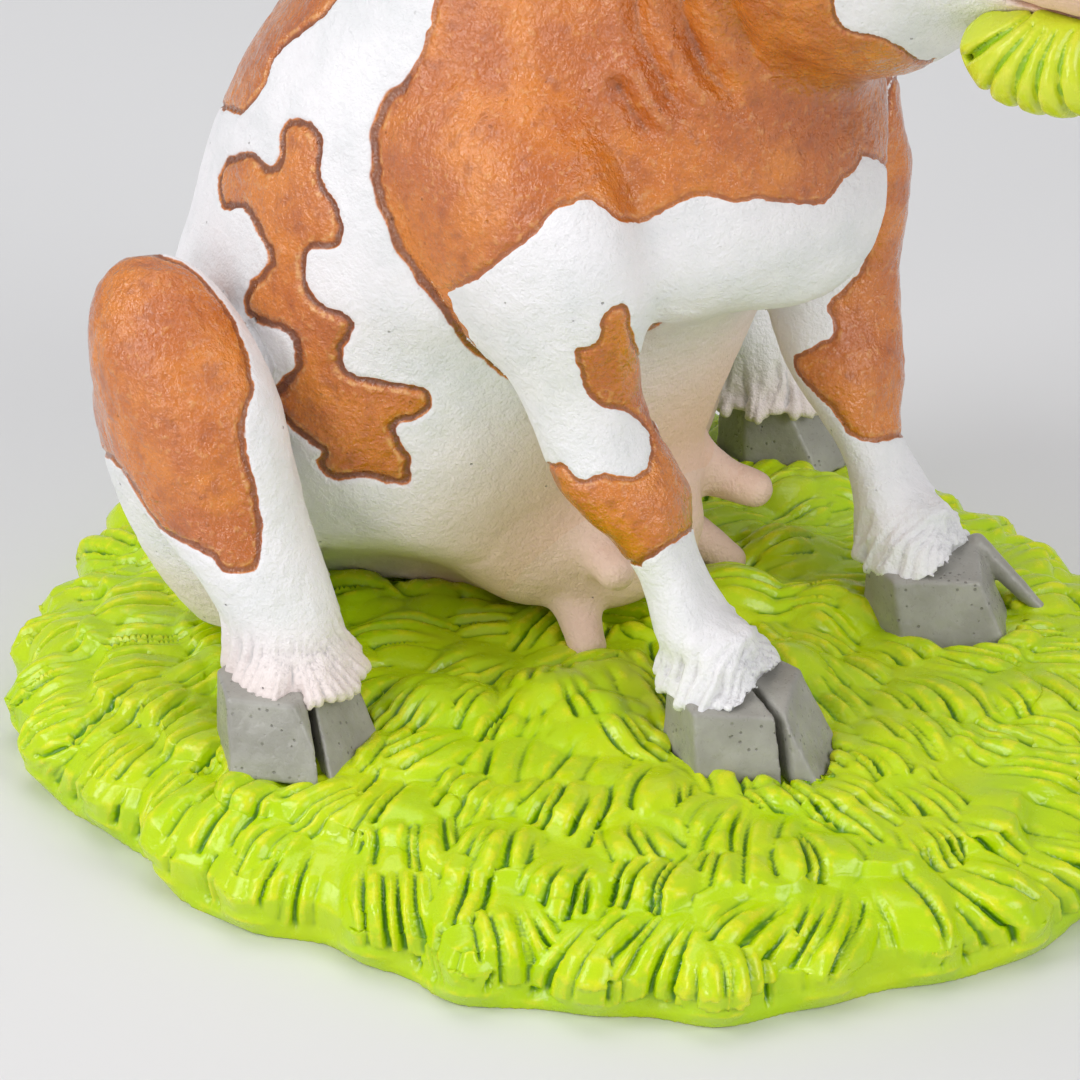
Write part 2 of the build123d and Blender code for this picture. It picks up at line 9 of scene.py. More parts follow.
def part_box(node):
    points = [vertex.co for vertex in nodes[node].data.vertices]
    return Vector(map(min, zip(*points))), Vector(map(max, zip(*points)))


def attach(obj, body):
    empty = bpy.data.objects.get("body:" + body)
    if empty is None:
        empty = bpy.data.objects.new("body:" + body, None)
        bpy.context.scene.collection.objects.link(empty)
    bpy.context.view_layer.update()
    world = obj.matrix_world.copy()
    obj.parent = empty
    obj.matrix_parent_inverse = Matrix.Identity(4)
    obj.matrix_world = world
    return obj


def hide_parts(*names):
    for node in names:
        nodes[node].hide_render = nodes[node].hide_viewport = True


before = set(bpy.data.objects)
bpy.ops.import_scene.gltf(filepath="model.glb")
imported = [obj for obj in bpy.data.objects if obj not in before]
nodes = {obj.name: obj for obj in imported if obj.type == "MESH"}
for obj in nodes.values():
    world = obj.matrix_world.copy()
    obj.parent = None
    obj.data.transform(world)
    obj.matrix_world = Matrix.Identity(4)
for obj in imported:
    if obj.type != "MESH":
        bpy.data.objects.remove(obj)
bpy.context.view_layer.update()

# Lengths below are in millimetres; Blender objects are in metres.
MM = 0.001

# The photograph's camera, fitted to the feet, the rim and the back.
VIEW_AZIMUTH = -52.5
VIEW_ELEVATION = 26.5
VIEW_DISTANCE = 550.0
PIXELS_PER_MM = 8.2
PHOTO_SIZE = 1080.0
ORIGIN_PIXEL = (623.24, 694.86)
SENSOR_MM = 36.0

SKIN_VOXEL = 0.42
GRASS_VOXEL = 0.38
FINE_VOXEL = 0.3
BAND_VOXELS = 12

# How far the box of voxels reaches beyond its node
SKIN_MARGIN = 5.0
FETLOCK_MARGIN = 4.0
HEAD_MARGIN = 6.0
GRASS_MARGIN = 3.0
HOOF_MARGIN = 2.5
SMALL_MARGIN = 2.0

# Which way each toe points, in degrees
TOE_ANGLES = {
    "forehoof_right": -117.0,
    "forehoof_left": -104.0,
    "hind_hoof_right": -124.0,
    "hind_hoof_left": -56.0,
}
HOOF_NODES = tuple(TOE_ANGLES)
FEET = {"foreleg_right": "forehoof_right", "foreleg_left": "forehoof_left",
        "hind_leg_right": "hind_hoof_right", "hind_leg_left": "hind_hoof_left"}
SKIN_NODES = ("torso", "head", "udder") + tuple(FEET) + ("tail",)
# How wide the castings run into the torso where they meet it.
SKIN_BLEND = {"head": 6.0, "udder": 7.0, "foreleg_right": 2.2, "foreleg_left": 2.2,
              "hind_leg_right": 1.6, "hind_leg_left": 1.6, "tail": 1.5}
# Castings lap under each other at their meeting lines.
SEAM_LAP = 0.7
SEAM_SINK = 0.35


# Photograph camera

def view_axes():
    azimuth = math.radians(VIEW_AZIMUTH)
    elevation = math.radians(VIEW_ELEVATION)
    toward = np.array([
        math.sin(azimuth) * math.cos(elevation),
        -math.cos(azimuth) * math.cos(elevation),
        math.sin(elevation),
    ])
    right = np.array([math.cos(azimuth), math.sin(azimuth), 0.0])
    return right, np.cross(toward, right), toward


VIEW_RIGHT, VIEW_UP, VIEW_TOWARD = view_axes()
FOCAL_PIXELS = PIXELS_PER_MM * VIEW_DISTANCE
VIEW_TARGET = (
    -(ORIGIN_PIXEL[0] - PHOTO_SIZE / 2) / PIXELS_PER_MM * VIEW_RIGHT
    + (ORIGIN_PIXEL[1] - PHOTO_SIZE / 2) / PIXELS_PER_MM * VIEW_UP
)
VIEW_EYE = VIEW_TARGET + VIEW_DISTANCE * VIEW_TOWARD


def photo_pixels(points):
    """Where points show in the photograph, and how far from the eye they are."""
    offset = points - VIEW_EYE
    depth = -offset @ VIEW_TOWARD
    across = PHOTO_SIZE / 2 + FOCAL_PIXELS * (offset @ VIEW_RIGHT) / depth
    down = PHOTO_SIZE / 2 - FOCAL_PIXELS * (offset @ VIEW_UP) / depth
    return np.stack([across, down], axis=1), depth


# Distance fields on a voxel grid

def node_triangles(name):
    mesh = nodes[name].data
    mesh.calc_loop_triangles()
    points = np.empty(len(mesh.vertices) * 3, np.float32)
    mesh.vertices.foreach_get("co", points)
    corners = np.empty(len(mesh.loop_triangles) * 3, np.int32)
    mesh.loop_triangles.foreach_get("vertices", corners)
    return points.reshape(-1, 3) / MM, corners.reshape(-1, 3).astype(np.uint32)


def node_box(name):
    low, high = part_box(name)
    return np.array(low) / MM, np.array(high) / MM


class Grids:
    """The level sets of CAD nodes at one voxel size; a sculpted node's grid replaces its first one."""

    def __init__(self, voxel):
        self.voxel = voxel
        self.band = BAND_VOXELS * voxel
        self.transform = openvdb.createLinearTransform(voxelSize=voxel)
        self.store = {}

    def grid(self, name):
        if name not in self.store:
            points, corners = node_triangles(name)
            self.store[name] = openvdb.FloatGrid.createLevelSetFromPolygons(
                points, triangles=corners, transform=self.transform, halfWidth=BAND_VOXELS)
        return self.store[name]

    def window(self, name, margin):
        low, high = node_box(name)
        return Window(self, low - margin, high + margin)


class Window:
    """A dense box of voxels cut out of the grids."""

    def __init__(self, grids, low, high):
        self.grids = grids
        self.start = np.floor(low / grids.voxel).astype(int)
        self.count = np.ceil(high / grids.voxel).astype(int) - self.start + 1

    def corner(self):
        return tuple(int(value) for value in self.start)

    def field(self, name):
        values = np.empty(tuple(self.count), np.float32)
        self.grids.grid(name).copyToArray(values, ijk=self.corner())
        return values

    def to_grid(self, values):
        grid = openvdb.FloatGrid(self.grids.band)
        grid.copyFromArray(values.astype(np.float32), ijk=self.corner())
        grid.transform = self.grids.transform
        return grid

    def axes(self):
        return [(self.start[k] + np.arange(self.count[k])) * self.grids.voxel for k in range(3)]

    def points(self):
        x, y, z = self.axes()
        return x[:, None, None], y[None, :, None], z[None, None, :]

    def surface(self, values):
        """Vertices and quads of the zero level, facing outward."""
        points, _, quads = self.to_grid(values).convertToPolygons(isovalue=0.0, adaptivity=0.0)
        points = points.astype(np.float64)
        faces = quads.astype(np.int64)
        if signed_volume(points, faces) < 0:
            faces = faces[:, ::-1]
        return points, faces

    def sample(self, values, points):
        """Trilinear values at points."""
        place = points / self.grids.voxel - self.start
        low = np.clip(np.floor(place).astype(int), 0, self.count - 2)
        part = np.clip(place - low, 0.0, 1.0)
        total = np.zeros(len(points))
        for corner in range(8):
            step = np.array([corner & 1, corner >> 1 & 1, corner >> 2 & 1])
            index = low + step
            weight = np.prod(np.where(step, part, 1 - part), axis=1)
            total += weight * values[index[:, 0], index[:, 1], index[:, 2]]
        return total


def signed_volume(points, faces):
    a, b, c, d = (points[faces[:, k]] for k in range(4))
    return np.einsum("ij,ij->i", a, np.cross(b, c) + np.cross(c, d)).sum()


def smooth_min(first, second, blend):
    near = np.maximum(blend - np.abs(first - second), 0.0) / blend
    return np.minimum(first, second) - near * near * blend / 4


def smooth_cut(field, cutter, blend):
    return -smooth_min(-field, cutter, blend)


def ellipsoid(points, centre, radii):
    """Distance, roughly, to an ellipsoid."""
    total = sum(((axis - middle) / radius) ** 2 for axis, middle, radius in zip(points, centre, radii))
    return (np.sqrt(total) - 1) * min(radii)


def stamp_lock(window, values, start, end, start_radius, end_radius, blend):
    """Joins a tapered round lock of hair, from start to end, into a field."""
    start = np.array(start, float)
    end = np.array(end, float)
    voxel = window.grids.voxel
    reach = max(start_radius, end_radius) + blend + 2 * voxel
    low = np.floor((np.minimum(start, end) - reach) / voxel).astype(int) - window.start
    high = np.ceil((np.maximum(start, end) + reach) / voxel).astype(int) - window.start + 1
    low = np.clip(low, 0, window.count)
    high = np.clip(high, 0, window.count)
    if np.any(high <= low):
        return
    box = tuple(slice(low[k], high[k]) for k in range(3))
    x, y, z = (axis[low[k]:high[k]] for k, axis in enumerate(window.axes()))
    grid = np.stack(np.meshgrid(x, y, z, indexing="ij"), axis=-1)
    line = end - start
    along = np.clip((grid - start) @ line / (line @ line), 0.0, 1.0)
    away = np.linalg.norm(grid - start - along[..., None] * line, axis=-1)
    lock = away - (start_radius + along * (end_radius - start_radius))
    values[box] = smooth_min(values[box], lock, blend)


# Mesh and noise helpers

RELAX_STEP = 0.5
RELAX_BACK = -0.52
NOISE_FACTORS = (73856093, 19349663, 83492791)
NOISE_SEED_FACTOR = 2654435761
NOISE_MIX = 1274126177
NOISE_LEVELS = 65535


def vertex_normals(points, faces):
    across = points[faces[:, 2]] - points[faces[:, 0]]
    other = points[faces[:, 3]] - points[faces[:, 1]]
    face_normals = np.cross(across, other)
    normals = np.zeros_like(points)
    for k in range(3):
        column = np.repeat(face_normals[:, k], 4)
        normals[:, k] = np.bincount(faces.ravel(), weights=column, minlength=len(points))
    length = np.linalg.norm(normals, axis=1)
    return normals / np.maximum(length, 1e-12)[:, None]


def neighbour_means(faces, total):
    """A function that gives the mean place of each vertex's neighbours."""
    first = np.concatenate([faces[:, k] for k in range(4)])
    second = np.concatenate([faces[:, (k + 1) % 4] for k in range(4)])
    ends = np.concatenate([first, second])
    others = np.concatenate([second, first])
    count = np.maximum(np.bincount(ends, minlength=total), 1)

    def mean_of(points):
        columns = [np.bincount(ends, weights=points[others, k], minlength=total) / count for k in range(3)]
        return np.stack(columns, axis=1)

    return mean_of


def relax(points, faces, rounds):
    """Evens a mesh out without shrinking it: a step toward each vertex's neighbours, then a step back."""
    mean_of = neighbour_means(faces, len(points))
    for number in range(2 * rounds):
        step = RELAX_BACK if number % 2 else RELAX_STEP
        points = points + step * (mean_of(points) - points)
    return points


def hollow_depth(points, faces, rounds):
    """How deep each vertex lies in a hollow, in millimetres: negative on a ridge."""
    mean_of = neighbour_means(faces, len(points))
    mean = points
    for _ in range(rounds):
        mean = mean_of(mean)
    return np.einsum("ij,ij->i", mean - points, vertex_normals(points, faces))


def lattice_noise(points, scale, seed):
    """Smooth value noise in -1 to 1 at points, with features about one scale wide."""
    place = points / scale
    low = np.floor(place).astype(np.int64)
    part = place - low
    part = part * part * (3 - 2 * part)
    total = np.zeros(len(points))
    for corner in range(8):
        step = np.array([corner & 1, corner >> 1 & 1, corner >> 2 & 1])
        index = low + step
        mixed = seed * NOISE_SEED_FACTOR
        for k in range(3):
            mixed = mixed ^ index[:, k] * NOISE_FACTORS[k]
        mixed = (mixed ^ (mixed >> 13)) * NOISE_MIX
        value = ((mixed ^ (mixed >> 16)) & NOISE_LEVELS) / (NOISE_LEVELS / 2) - 1
        total += value * np.prod(np.where(step, part, 1 - part), axis=1)
    return total


def noise_sum(points, rows):
    """Noises added up; each row has a height, the width of its features and a seed."""
    return sum(height * lattice_noise(points, width, seed) for height, width, seed in rows)


def vary(shares, draw):
    """A share between bounds: the least one, and how much a random draw adds to it."""
    least, more = shares
    return least + more * draw


def step_between(low, high, values):
    share = np.clip((values - low) / (high - low), 0.0, 1.0)
    return share * share * (3 - 2 * share)


def build_object(name, points, faces, attributes):
    mesh = bpy.data.meshes.new(name)
    mesh.from_pydata((points * MM).tolist(), [], faces)
    for label, values in attributes.items():
        layer = mesh.attributes.new(label, "FLOAT", "POINT")
        layer.data.foreach_set("value", np.asarray(values, np.float32))
    mesh.shade_smooth()
    piece = bpy.data.objects.new(name, mesh)
    bpy.context.scene.collection.objects.link(piece)
    return piece


# Sculpting on the castings' fields

# Work on the castings: node, middle, reach along each axis and how far the surface comes out there.
SWELLS = (
    ("torso", (16, -28, 71), (13, 12, 13), -3.8),
    ("torso", (17, -3, 37), (10, 9, 12), -4.0),
    ("torso", (-22, 18, 19), (17, 17, 15), -4.8),
    ("torso", (-1, -27, 62), (13, 10, 9), 2.0),
    ("foreleg_left", (28, -17.5, 54), (10, 10, 17), 2.9),
    ("foreleg_left", (31, -18.5, 72), (9, 9, 8), -1.3),
    ("foreleg_left", (21, -26, 36), (9, 7, 9), -2.5),
    ("foreleg_left", (21, -29.5, 29), (9, 7, 9), -2.3),
    ("foreleg_left", (21, -36, 21.5), (11, 7, 9), -2.2),
    ("foreleg_right", (-18, -26, 36), (9, 7, 9), -2.5),
    ("foreleg_right", (-18, -29.5, 29), (9, 7, 9), -2.3),
    ("foreleg_right", (-18, -36, 21.5), (11, 7, 9), -2.2),
)
UDDER_CENTRE = (-2.5, 3.0, 24.0)
UDDER_RADII = (13.5, 12.0, 9.5)
# Teats: root and tip on the left side; the right side mirrors them.
TEATS = (
    ((10.5, 0.5, 27.5), (14.0, -9.0, 25.2)),
    ((10.5, 0.5, 19.5), (14.3, -5.2, 14.4)),
)
TEAT_ROOT_RADIUS = 2.3
TEAT_TIP_RADIUS = 1.65
TEAT_BLEND = 2.0
SOCKET_GAP = 0.6
PIN_COVER = 0.7
PIN_BLEND = 3.0
SOCKET_RISE = 0.8
LOCKS_ROUND_FETLOCK = 28
LOCK_START_RADIUS = 0.35
LOCK_RADIUS = 0.95
LOCK_SUNK = 0.3
LOCK_RISE = 5.6
LOCK_DROP = 1.1
LOCK_OUT = 0.2
LOCK_FOOT = 0.4
LOCK_FLARE = 3.0
LOCK_LEAN = 0.07
LOCK_BLEND = 0.3
LOCK_TURN_SHARE = 0.5
LOCK_HALFWAY_SHARE = 0.75
LOCK_DROP_SHARES = (0.1, 0.9)
# How much lower the hair hangs over the toes of each foot, and where round from the toe.
HANGS = {"foreleg_right": 1.3, "foreleg_left": 1.3, "hind_leg_right": 0.0, "hind_leg_left": 0.0}
HANG_TURN = -10.0
HANG_OUT = 1.0
FETLOCK_REACH = 13.0
FETLOCK_CORE = 0.5
FETLOCK_STEP = 0.1


def fill_sockets(grids, leg, hoof):
    """Closes the sockets for the hoof and its pin in the foot of a leg."""
    window = grids.window(leg, SKIN_MARGIN)
    top = node_box(hoof)[1][2]
    held = np.minimum(window.field(hoof), window.field("hoof_pins")) - SOCKET_GAP
    held = np.maximum(held, top - SOCKET_RISE - window.points()[2])
    points, faces = window.surface(np.minimum(window.field(leg), held))
    grids.store[leg] = openvdb.FloatGrid.createLevelSetFromPolygons(
        points.astype(np.float32), quads=faces.astype(np.uint32),
        transform=grids.transform, halfWidth=BAND_VOXELS)


def sculpt_swells(grids):
    for node, middle, reach, amount in SWELLS:
        window = grids.window(node, SKIN_MARGIN)
        values = window.field(node)
        away = sum(((axis - place) / size) ** 2 for axis, place, size in zip(window.points(), middle, reach))
        grids.store[node] = window.to_grid(values - amount * np.clip(1 - away, 0, 1) ** 2)


def cover_pin(grids, leg, hoof):
    """Keeps some of the casting in front of the hoof's pin."""
    window = grids.window(leg, SKIN_MARGIN)
    top = node_box(hoof)[1][2]
    cover = np.maximum(window.field("hoof_pins") - PIN_COVER, top - window.points()[2])
    grids.store[leg] = window.to_grid(smooth_min(window.field(leg), cover, PIN_BLEND))


def sculpt_udder(grids):
    """A small bag with four tapered teats."""
    window = grids.window("udder", SKIN_MARGIN)
    values = ellipsoid(window.points(), UDDER_CENTRE, UDDER_RADII)
    for side in (-1, 1):
        mirror = np.array([side, 1, 1])
        for root, tip in TEATS:
            ends = (mirror * root, mirror * tip)
            stamp_lock(window, values, *ends, TEAT_ROOT_RADIUS, TEAT_TIP_RADIUS, TEAT_BLEND)
    grids.store["udder"] = window.to_grid(np.minimum(values, grids.band))


def reach_outward(window, values, centre, angle, height):
    """How far out from a centre a form still is at one height and angle."""
    radii = np.arange(FETLOCK_CORE, FETLOCK_REACH, FETLOCK_STEP)
    line = np.stack([
        centre[0] + radii * math.cos(angle),
        centre[1] + radii * math.sin(angle),
        np.full(len(radii), height),
    ], axis=1)
    inside = window.sample(values, line) < 0
    return radii[inside].max() if inside.any() else 0.0


def sculpt_fetlock(grids, leg, hoof, steps):
    """Hair locks round the foot of a leg, hanging over the top of the hoof."""
    window = grids.window(leg, FETLOCK_MARGIN)
    plain = window.field(leg)
    values = plain.copy()
    low, high = node_box(hoof)
    centre = (low + high)[:2] / 2
    top = high[2]
    hang_angle = math.radians(TOE_ANGLES[hoof] + HANG_TURN)
    for index in range(LOCKS_ROUND_FETLOCK):
        angle = 2 * math.pi * (index + LOCK_TURN_SHARE * steps.rand()) / LOCKS_ROUND_FETLOCK
        lean = angle + LOCK_LEAN * steps.randn()
        hang = HANGS[leg] * max(0.0, math.cos(angle - hang_angle))
        drop = LOCK_DROP * vary(LOCK_DROP_SHARES, steps.rand()) + hang
        heights = (top + LOCK_RISE, top + LOCK_RISE / 2, top + LOCK_FOOT)
        outer, halfway, inner = (reach_outward(window, plain, centre, angle, height) for height in heights)
        if min(outer, halfway, inner) == 0.0 or outer > inner + LOCK_FLARE:
            continue
        course = (
            (outer - LOCK_SUNK, angle, heights[0]),
            (halfway - LOCK_SUNK, angle, heights[1]),
            (inner + LOCK_OUT + HANG_OUT * hang, lean, top - drop),
        )
        line = []
        for out, turn, height in course:
            line.append((centre[0] + out * math.cos(turn), centre[1] + out * math.sin(turn), height))
        halfway_radius = LOCK_HALFWAY_SHARE * LOCK_RADIUS
        stamp_lock(window, values, line[0], line[1], LOCK_START_RADIUS, halfway_radius, LOCK_BLEND)
        stamp_lock(window, values, line[1], line[2], halfway_radius, LOCK_RADIUS, LOCK_BLEND)
    grids.store[leg] = window.to_grid(values)


EYE_RADIUS = 4.5
EYE_AIM = (0.84, -0.52, 0.12)
LID_RADIUS = 1.15
LID_OUT = 1.2
LID_BLEND = 0.8
NOSTRIL_PLACE = (6.2, -72.5, 116.0)
NOSTRIL_RADII = (2.2, 3.2, 1.7)
NOSTRIL_BLEND = 1.0
BROW_OFFSET = (-0.8, 2.6, 5.6)
BROW_RADII = (6.5, 5.0, 3.0)
BROW_BLEND = 2.5
# The mouth line slopes up from its level in the muzzle.
MOUTH_Z = 104.5
MOUTH_LEVEL_Y = -60.0
MOUTH_SLOPE = 0.12
MOUTH_BLEND = 0.5
MOUTH_BACK_Y = -53.0
MOUTH_DEPTH = 1.3
MOUTH_HALF_WIDTH = 0.5
FORELOCK_COUNT = 13
FORELOCK_SPACING = 0.95
FORELOCK_RADII = (1.5, 0.5)
FORELOCK_BLEND = 0.5
# Both ends of the forelock: share of the spacing, place along y, height, and how far it falls to the sides.
FORELOCK_BACK = (0.8, -17.0, 140.6, 0.03)
FORELOCK_FRONT = (1.25, -33.0, 139.4, 0.05)
FORELOCK_SWAY = 0.5
FORELOCK_UNEVEN = 4.0


def sculpt_head(grids, steps):
    """Eyelids, brows, nostrils, mouth line and forelock."""
    window = grids.window("head", HEAD_MARGIN)
    values = window.field("head")
    points = window.points()
    x, y, z = points
    for side, node in ((-1, "eye_right"), (1, "eye_left")):
        low, high = node_box(node)
        middle = (low + high) / 2
        mirror = np.array([side, 1, 1])
        brow = middle + np.array(BROW_OFFSET) * mirror
        values = smooth_min(values, ellipsoid(points, brow, BROW_RADII), BROW_BLEND)
        aim = np.array(EYE_AIM) * mirror
        aim /= np.linalg.norm(aim)
        along = (x - middle[0]) * aim[0] + (y - middle[1]) * aim[1] + (z - middle[2]) * aim[2]
        away = (x - middle[0]) ** 2 + (y - middle[1]) ** 2 + (z - middle[2]) ** 2
        ring = np.sqrt(np.maximum(away - along ** 2, 0.0)) - EYE_RADIUS
        lid = np.sqrt(ring ** 2 + (along - LID_OUT) ** 2) - LID_RADIUS
        values = smooth_min(values, lid, LID_BLEND)
        nostril = np.array(NOSTRIL_PLACE) * mirror
        values = smooth_cut(values, ellipsoid(points, nostril, NOSTRIL_RADII), NOSTRIL_BLEND)
    line = np.abs(z - MOUTH_Z - MOUTH_SLOPE * (y - MOUTH_LEVEL_Y)) - MOUTH_HALF_WIDTH
    slot = np.maximum(line, -(values + MOUTH_DEPTH))
    slot = np.maximum(slot, y - MOUTH_BACK_Y)
    values = smooth_cut(values, slot, MOUTH_BLEND)
    for index in range(FORELOCK_COUNT):
        across = (index - (FORELOCK_COUNT - 1) / 2) * FORELOCK_SPACING
        share, place, height, fall = FORELOCK_BACK
        start = (across * share, place + steps.rand(), height - fall * across ** 2)
        share, place, height, fall = FORELOCK_FRONT
        sway = FORELOCK_SWAY * steps.randn()
        end = (across * share + sway, place - FORELOCK_UNEVEN * steps.rand(), height - fall * across ** 2)
        stamp_lock(window, values, start, end, *FORELOCK_RADII, FORELOCK_BLEND)
    grids.store["head"] = window.to_grid(values)


def skin_piece(grids, name):
    """One casting of the cow, blended into its neighbours: vertices, quads and how far each laps under."""
    window = grids.window(name, SKIN_MARGIN)
    fields = {node: window.field(node) for node in SKIN_NODES}
    union = fields["torso"]
    for node in SKIN_NODES[1:]:
        union = smooth_min(union, fields[node], SKIN_BLEND[node])
    rest = np.minimum.reduce([fields[node] for node in SKIN_NODES if node != name])
    lap = (fields[name] - rest) / 2
    points, faces = window.surface(np.maximum(union, lap - SEAM_LAP))
    sunk = step_between(0.0, SEAM_LAP, window.sample(lap, points))
    return relax(points, faces, rounds=3), faces, sunk


# Painted patches: outlines read in the photograph's pixels, seen along its camera

FLANK_PATCH = (
    (293, 117), (320, 133), (320, 179), (339, 210), (339, 248), (312, 250), (305, 272), (317, 300),
    (351, 320), (350, 341), (341, 358), (355, 375), (417, 386), (432, 401), (422, 418), (396, 429),
    (411, 461), (405, 487), (365, 479), (331, 480), (315, 463), (319, 451), (286, 427), (269, 399),
    (293, 365), (288, 336), (246, 317), (246, 286), (267, 262), (257, 234), (241, 210), (220, 207),
    (217, 176), (227, 157), (250, 150), (265, 165), (277, 157), (279, 129),
)
KNEE_PATCH = (
    (140, 252), (185, 262), (215, 290), (240, 330), (255, 385), (245, 430), (258, 500), (262, 540),
    (255, 570), (225, 572), (205, 555), (160, 530), (120, 470), (80, 430), (60, 330), (95, 270),
)
CAPE_PATCH = (
    (440, -40), (425, 40), (400, 90), (392, 115), (392, 170), (398, 230), (415, 270), (440, 290),
    (470, 283), (500, 262), (535, 232), (560, 208), (583, 200), (597, 202), (613, 218), (630, 223),
    (648, 222), (670, 208), (693, 197), (707, 195), (733, 203), (757, 200), (785, 203), (825, 203),
    (845, 180), (862, 158), (905, 60), (940, 20), (930, -60), (900, -300), (480, -300),
)
SHOULDER_PATCH = (
    (440, -40), (405, 40), (372, 90), (360, 115), (360, 170), (368, 230), (392, 275), (430, 300),
    (450, 292),
) + CAPE_PATCH[8:]
BACK_PATCH = (
    (375, -60), (335, 0), (320, 20), (280, 50), (262, 90), (243, 112), (225, 110), (190, 90), (200, 20),
    (290, -60),
)
NEAR_FORELEG_PATCH = (
    (617, 305), (627, 305), (633, 325), (645, 370), (650, 400), (660, 430), (690, 470), (700, 520),
    (672, 545), (645, 562), (640, 567), (620, 558), (590, 530), (560, 500), (545, 465), (563, 465),
    (580, 478), (605, 474), (640, 474), (650, 455), (648, 430), (630, 415), (600, 405), (585, 390),
    (577, 365), (577, 350), (595, 345), (600, 325), (610, 308),
)
FAR_FORELEG_PATCH = (
    (893, 80), (880, 130), (868, 150), (865, 200), (864, 260), (846, 286), (829, 306), (833, 334),
    (812, 346), (792, 357), (800, 380), (830, 410), (850, 435), (870, 443), (895, 438), (915, 425),
    (930, 360), (920, 290), (920, 200), (920, 120), (910, 80),
)
HEAD_PATCH = (
    (932, 66), (922, 60), (893, 44), (873, 36), (853, 32), (840, 22), (835, 0), (850, -40), (905, -80),
    (950, -130), (965, -190), (940, -250), (900, -290), (850, -330), (560, -420), (520, 80), (700, 200),
    (860, 160),
)
FAR_FLANK_SHIFT = (18, -34)
FAR_FLANK_SHARES = (1.12, 0.8)

# Folds of the neck, as lines in the photograph's pixels
NECK_FOLDS = (
    ((632, -20), (638, 30), (653, 63), (670, 97), (693, 123), (713, 147)),
    ((672, -15), (690, 37), (707, 70), (733, 97), (760, 123)),
    ((722, -20), (737, 27), (752, 55), (772, 78)),
    ((618, 88), (637, 120), (660, 150)),
)
FOLD_DEPTH = 0.75
FOLD_HALF_WIDTH = 0.85
FOLD_LIP = 0.4
FOLD_LIP_PLACE_SHARE = 2.4
FOLD_LIP_WIDTH_SHARE = 1.2
FOLD_FADE_SHARES = (0.55, 1.0)
FOLD_FACING = (0.0, 0.25)


def smooth_outline(corners):
    """A closed curve through listed corners."""
    knots = np.array(corners, float)
    before = np.roll(knots, 1, axis=0)
    after = np.roll(knots, -1, axis=0)
    later = np.roll(knots, -2, axis=0)
    rows = []
    for t in (0.0, 0.25, 0.5, 0.75):
        straight = 2 * knots + (after - before) * t
        curved = (2 * before - 5 * knots + 4 * after - later) * t ** 2
        rows.append(0.5 * (straight + curved + (3 * knots - before - 3 * after + later) * t ** 3))
    return np.stack(rows, axis=1).reshape(-1, 2)


def line_distance(places, start, end):
    """The way from each place to the nearest point of a line, how far along that is, and the way's square."""
    line = end - start
    along = np.clip((places - start) @ line / max(line @ line, 1e-9), 0.0, 1.0)
    away = start + along[:, None] * line - places
    return away, along, np.einsum("ij,ij->i", away, away)


def outline_distance(places, outline):
    """Distance inside a closed outline, negative outside, and the direction to its nearest point."""
    best = np.full(len(places), np.inf)
    toward = np.zeros_like(places)
    inside = np.zeros(len(places), bool)
    for start, end in zip(outline, np.roll(outline, -1, axis=0)):
        away, _, length = line_distance(places, start, end)
        nearer = length < best
        best[nearer] = length[nearer]
        toward[nearer] = away[nearer]
        crosses = (start[1] > places[:, 1]) != (end[1] > places[:, 1])
        if start[1] != end[1]:
            at = start[0] + (places[:, 1] - start[1]) * (end[0] - start[0]) / (end[1] - start[1])
            inside ^= crosses & (places[:, 0] < at)
    length = np.sqrt(best)
    return np.where(inside, length, -length), toward / np.maximum(length, 1e-6)[:, None]


PATCH_MARGIN = 40
PATCH_CROSS = 14.0
PATCH_OUTSIDE = -9.0
WRAP_FALL = 12.0
LEAST_STRETCH = 0.2
PATCH_JAG = 0.25
FINE_JAG_SHARE = 0.6
JAG_WIDTHS = (1.3, 0.6)


def patch_depth(points, normals, outline, side, wrap_limit, seed):
    """How far each point lies inside a painted patch, in millimetres along the surface."""
    mirror = np.array([side, 1, 1])
    facing_normals = normals * mirror
    pixels, depth = photo_pixels(points * mirror)
    curve = smooth_outline(outline)
    result = np.full(len(points), PATCH_OUTSIDE)
    low = curve.min(axis=0) - PATCH_MARGIN
    high = curve.max(axis=0) + PATCH_MARGIN
    near = np.all((pixels > low) & (pixels < high), axis=1)
    if not near.any():
        return result
    distance, toward = outline_distance(pixels[near], curve)
    image_direction = toward[:, :1] * VIEW_RIGHT - toward[:, 1:] * VIEW_UP
    lean = np.einsum("ij,ij->i", image_direction, facing_normals[near])
    stretch = np.sqrt(np.clip(1 - lean ** 2, LEAST_STRETCH, 1.0))
    inside = distance * depth[near] / FOCAL_PIXELS / stretch
    facing = facing_normals[near] @ VIEW_TOWARD
    inside = np.minimum(inside, (facing + wrap_limit) * WRAP_FALL)
    jags = ((1.0, JAG_WIDTHS[0], seed), (FINE_JAG_SHARE, JAG_WIDTHS[1], seed + 1))
    inside += PATCH_JAG * noise_sum(points[near], jags)
    result[near] = inside
    return result


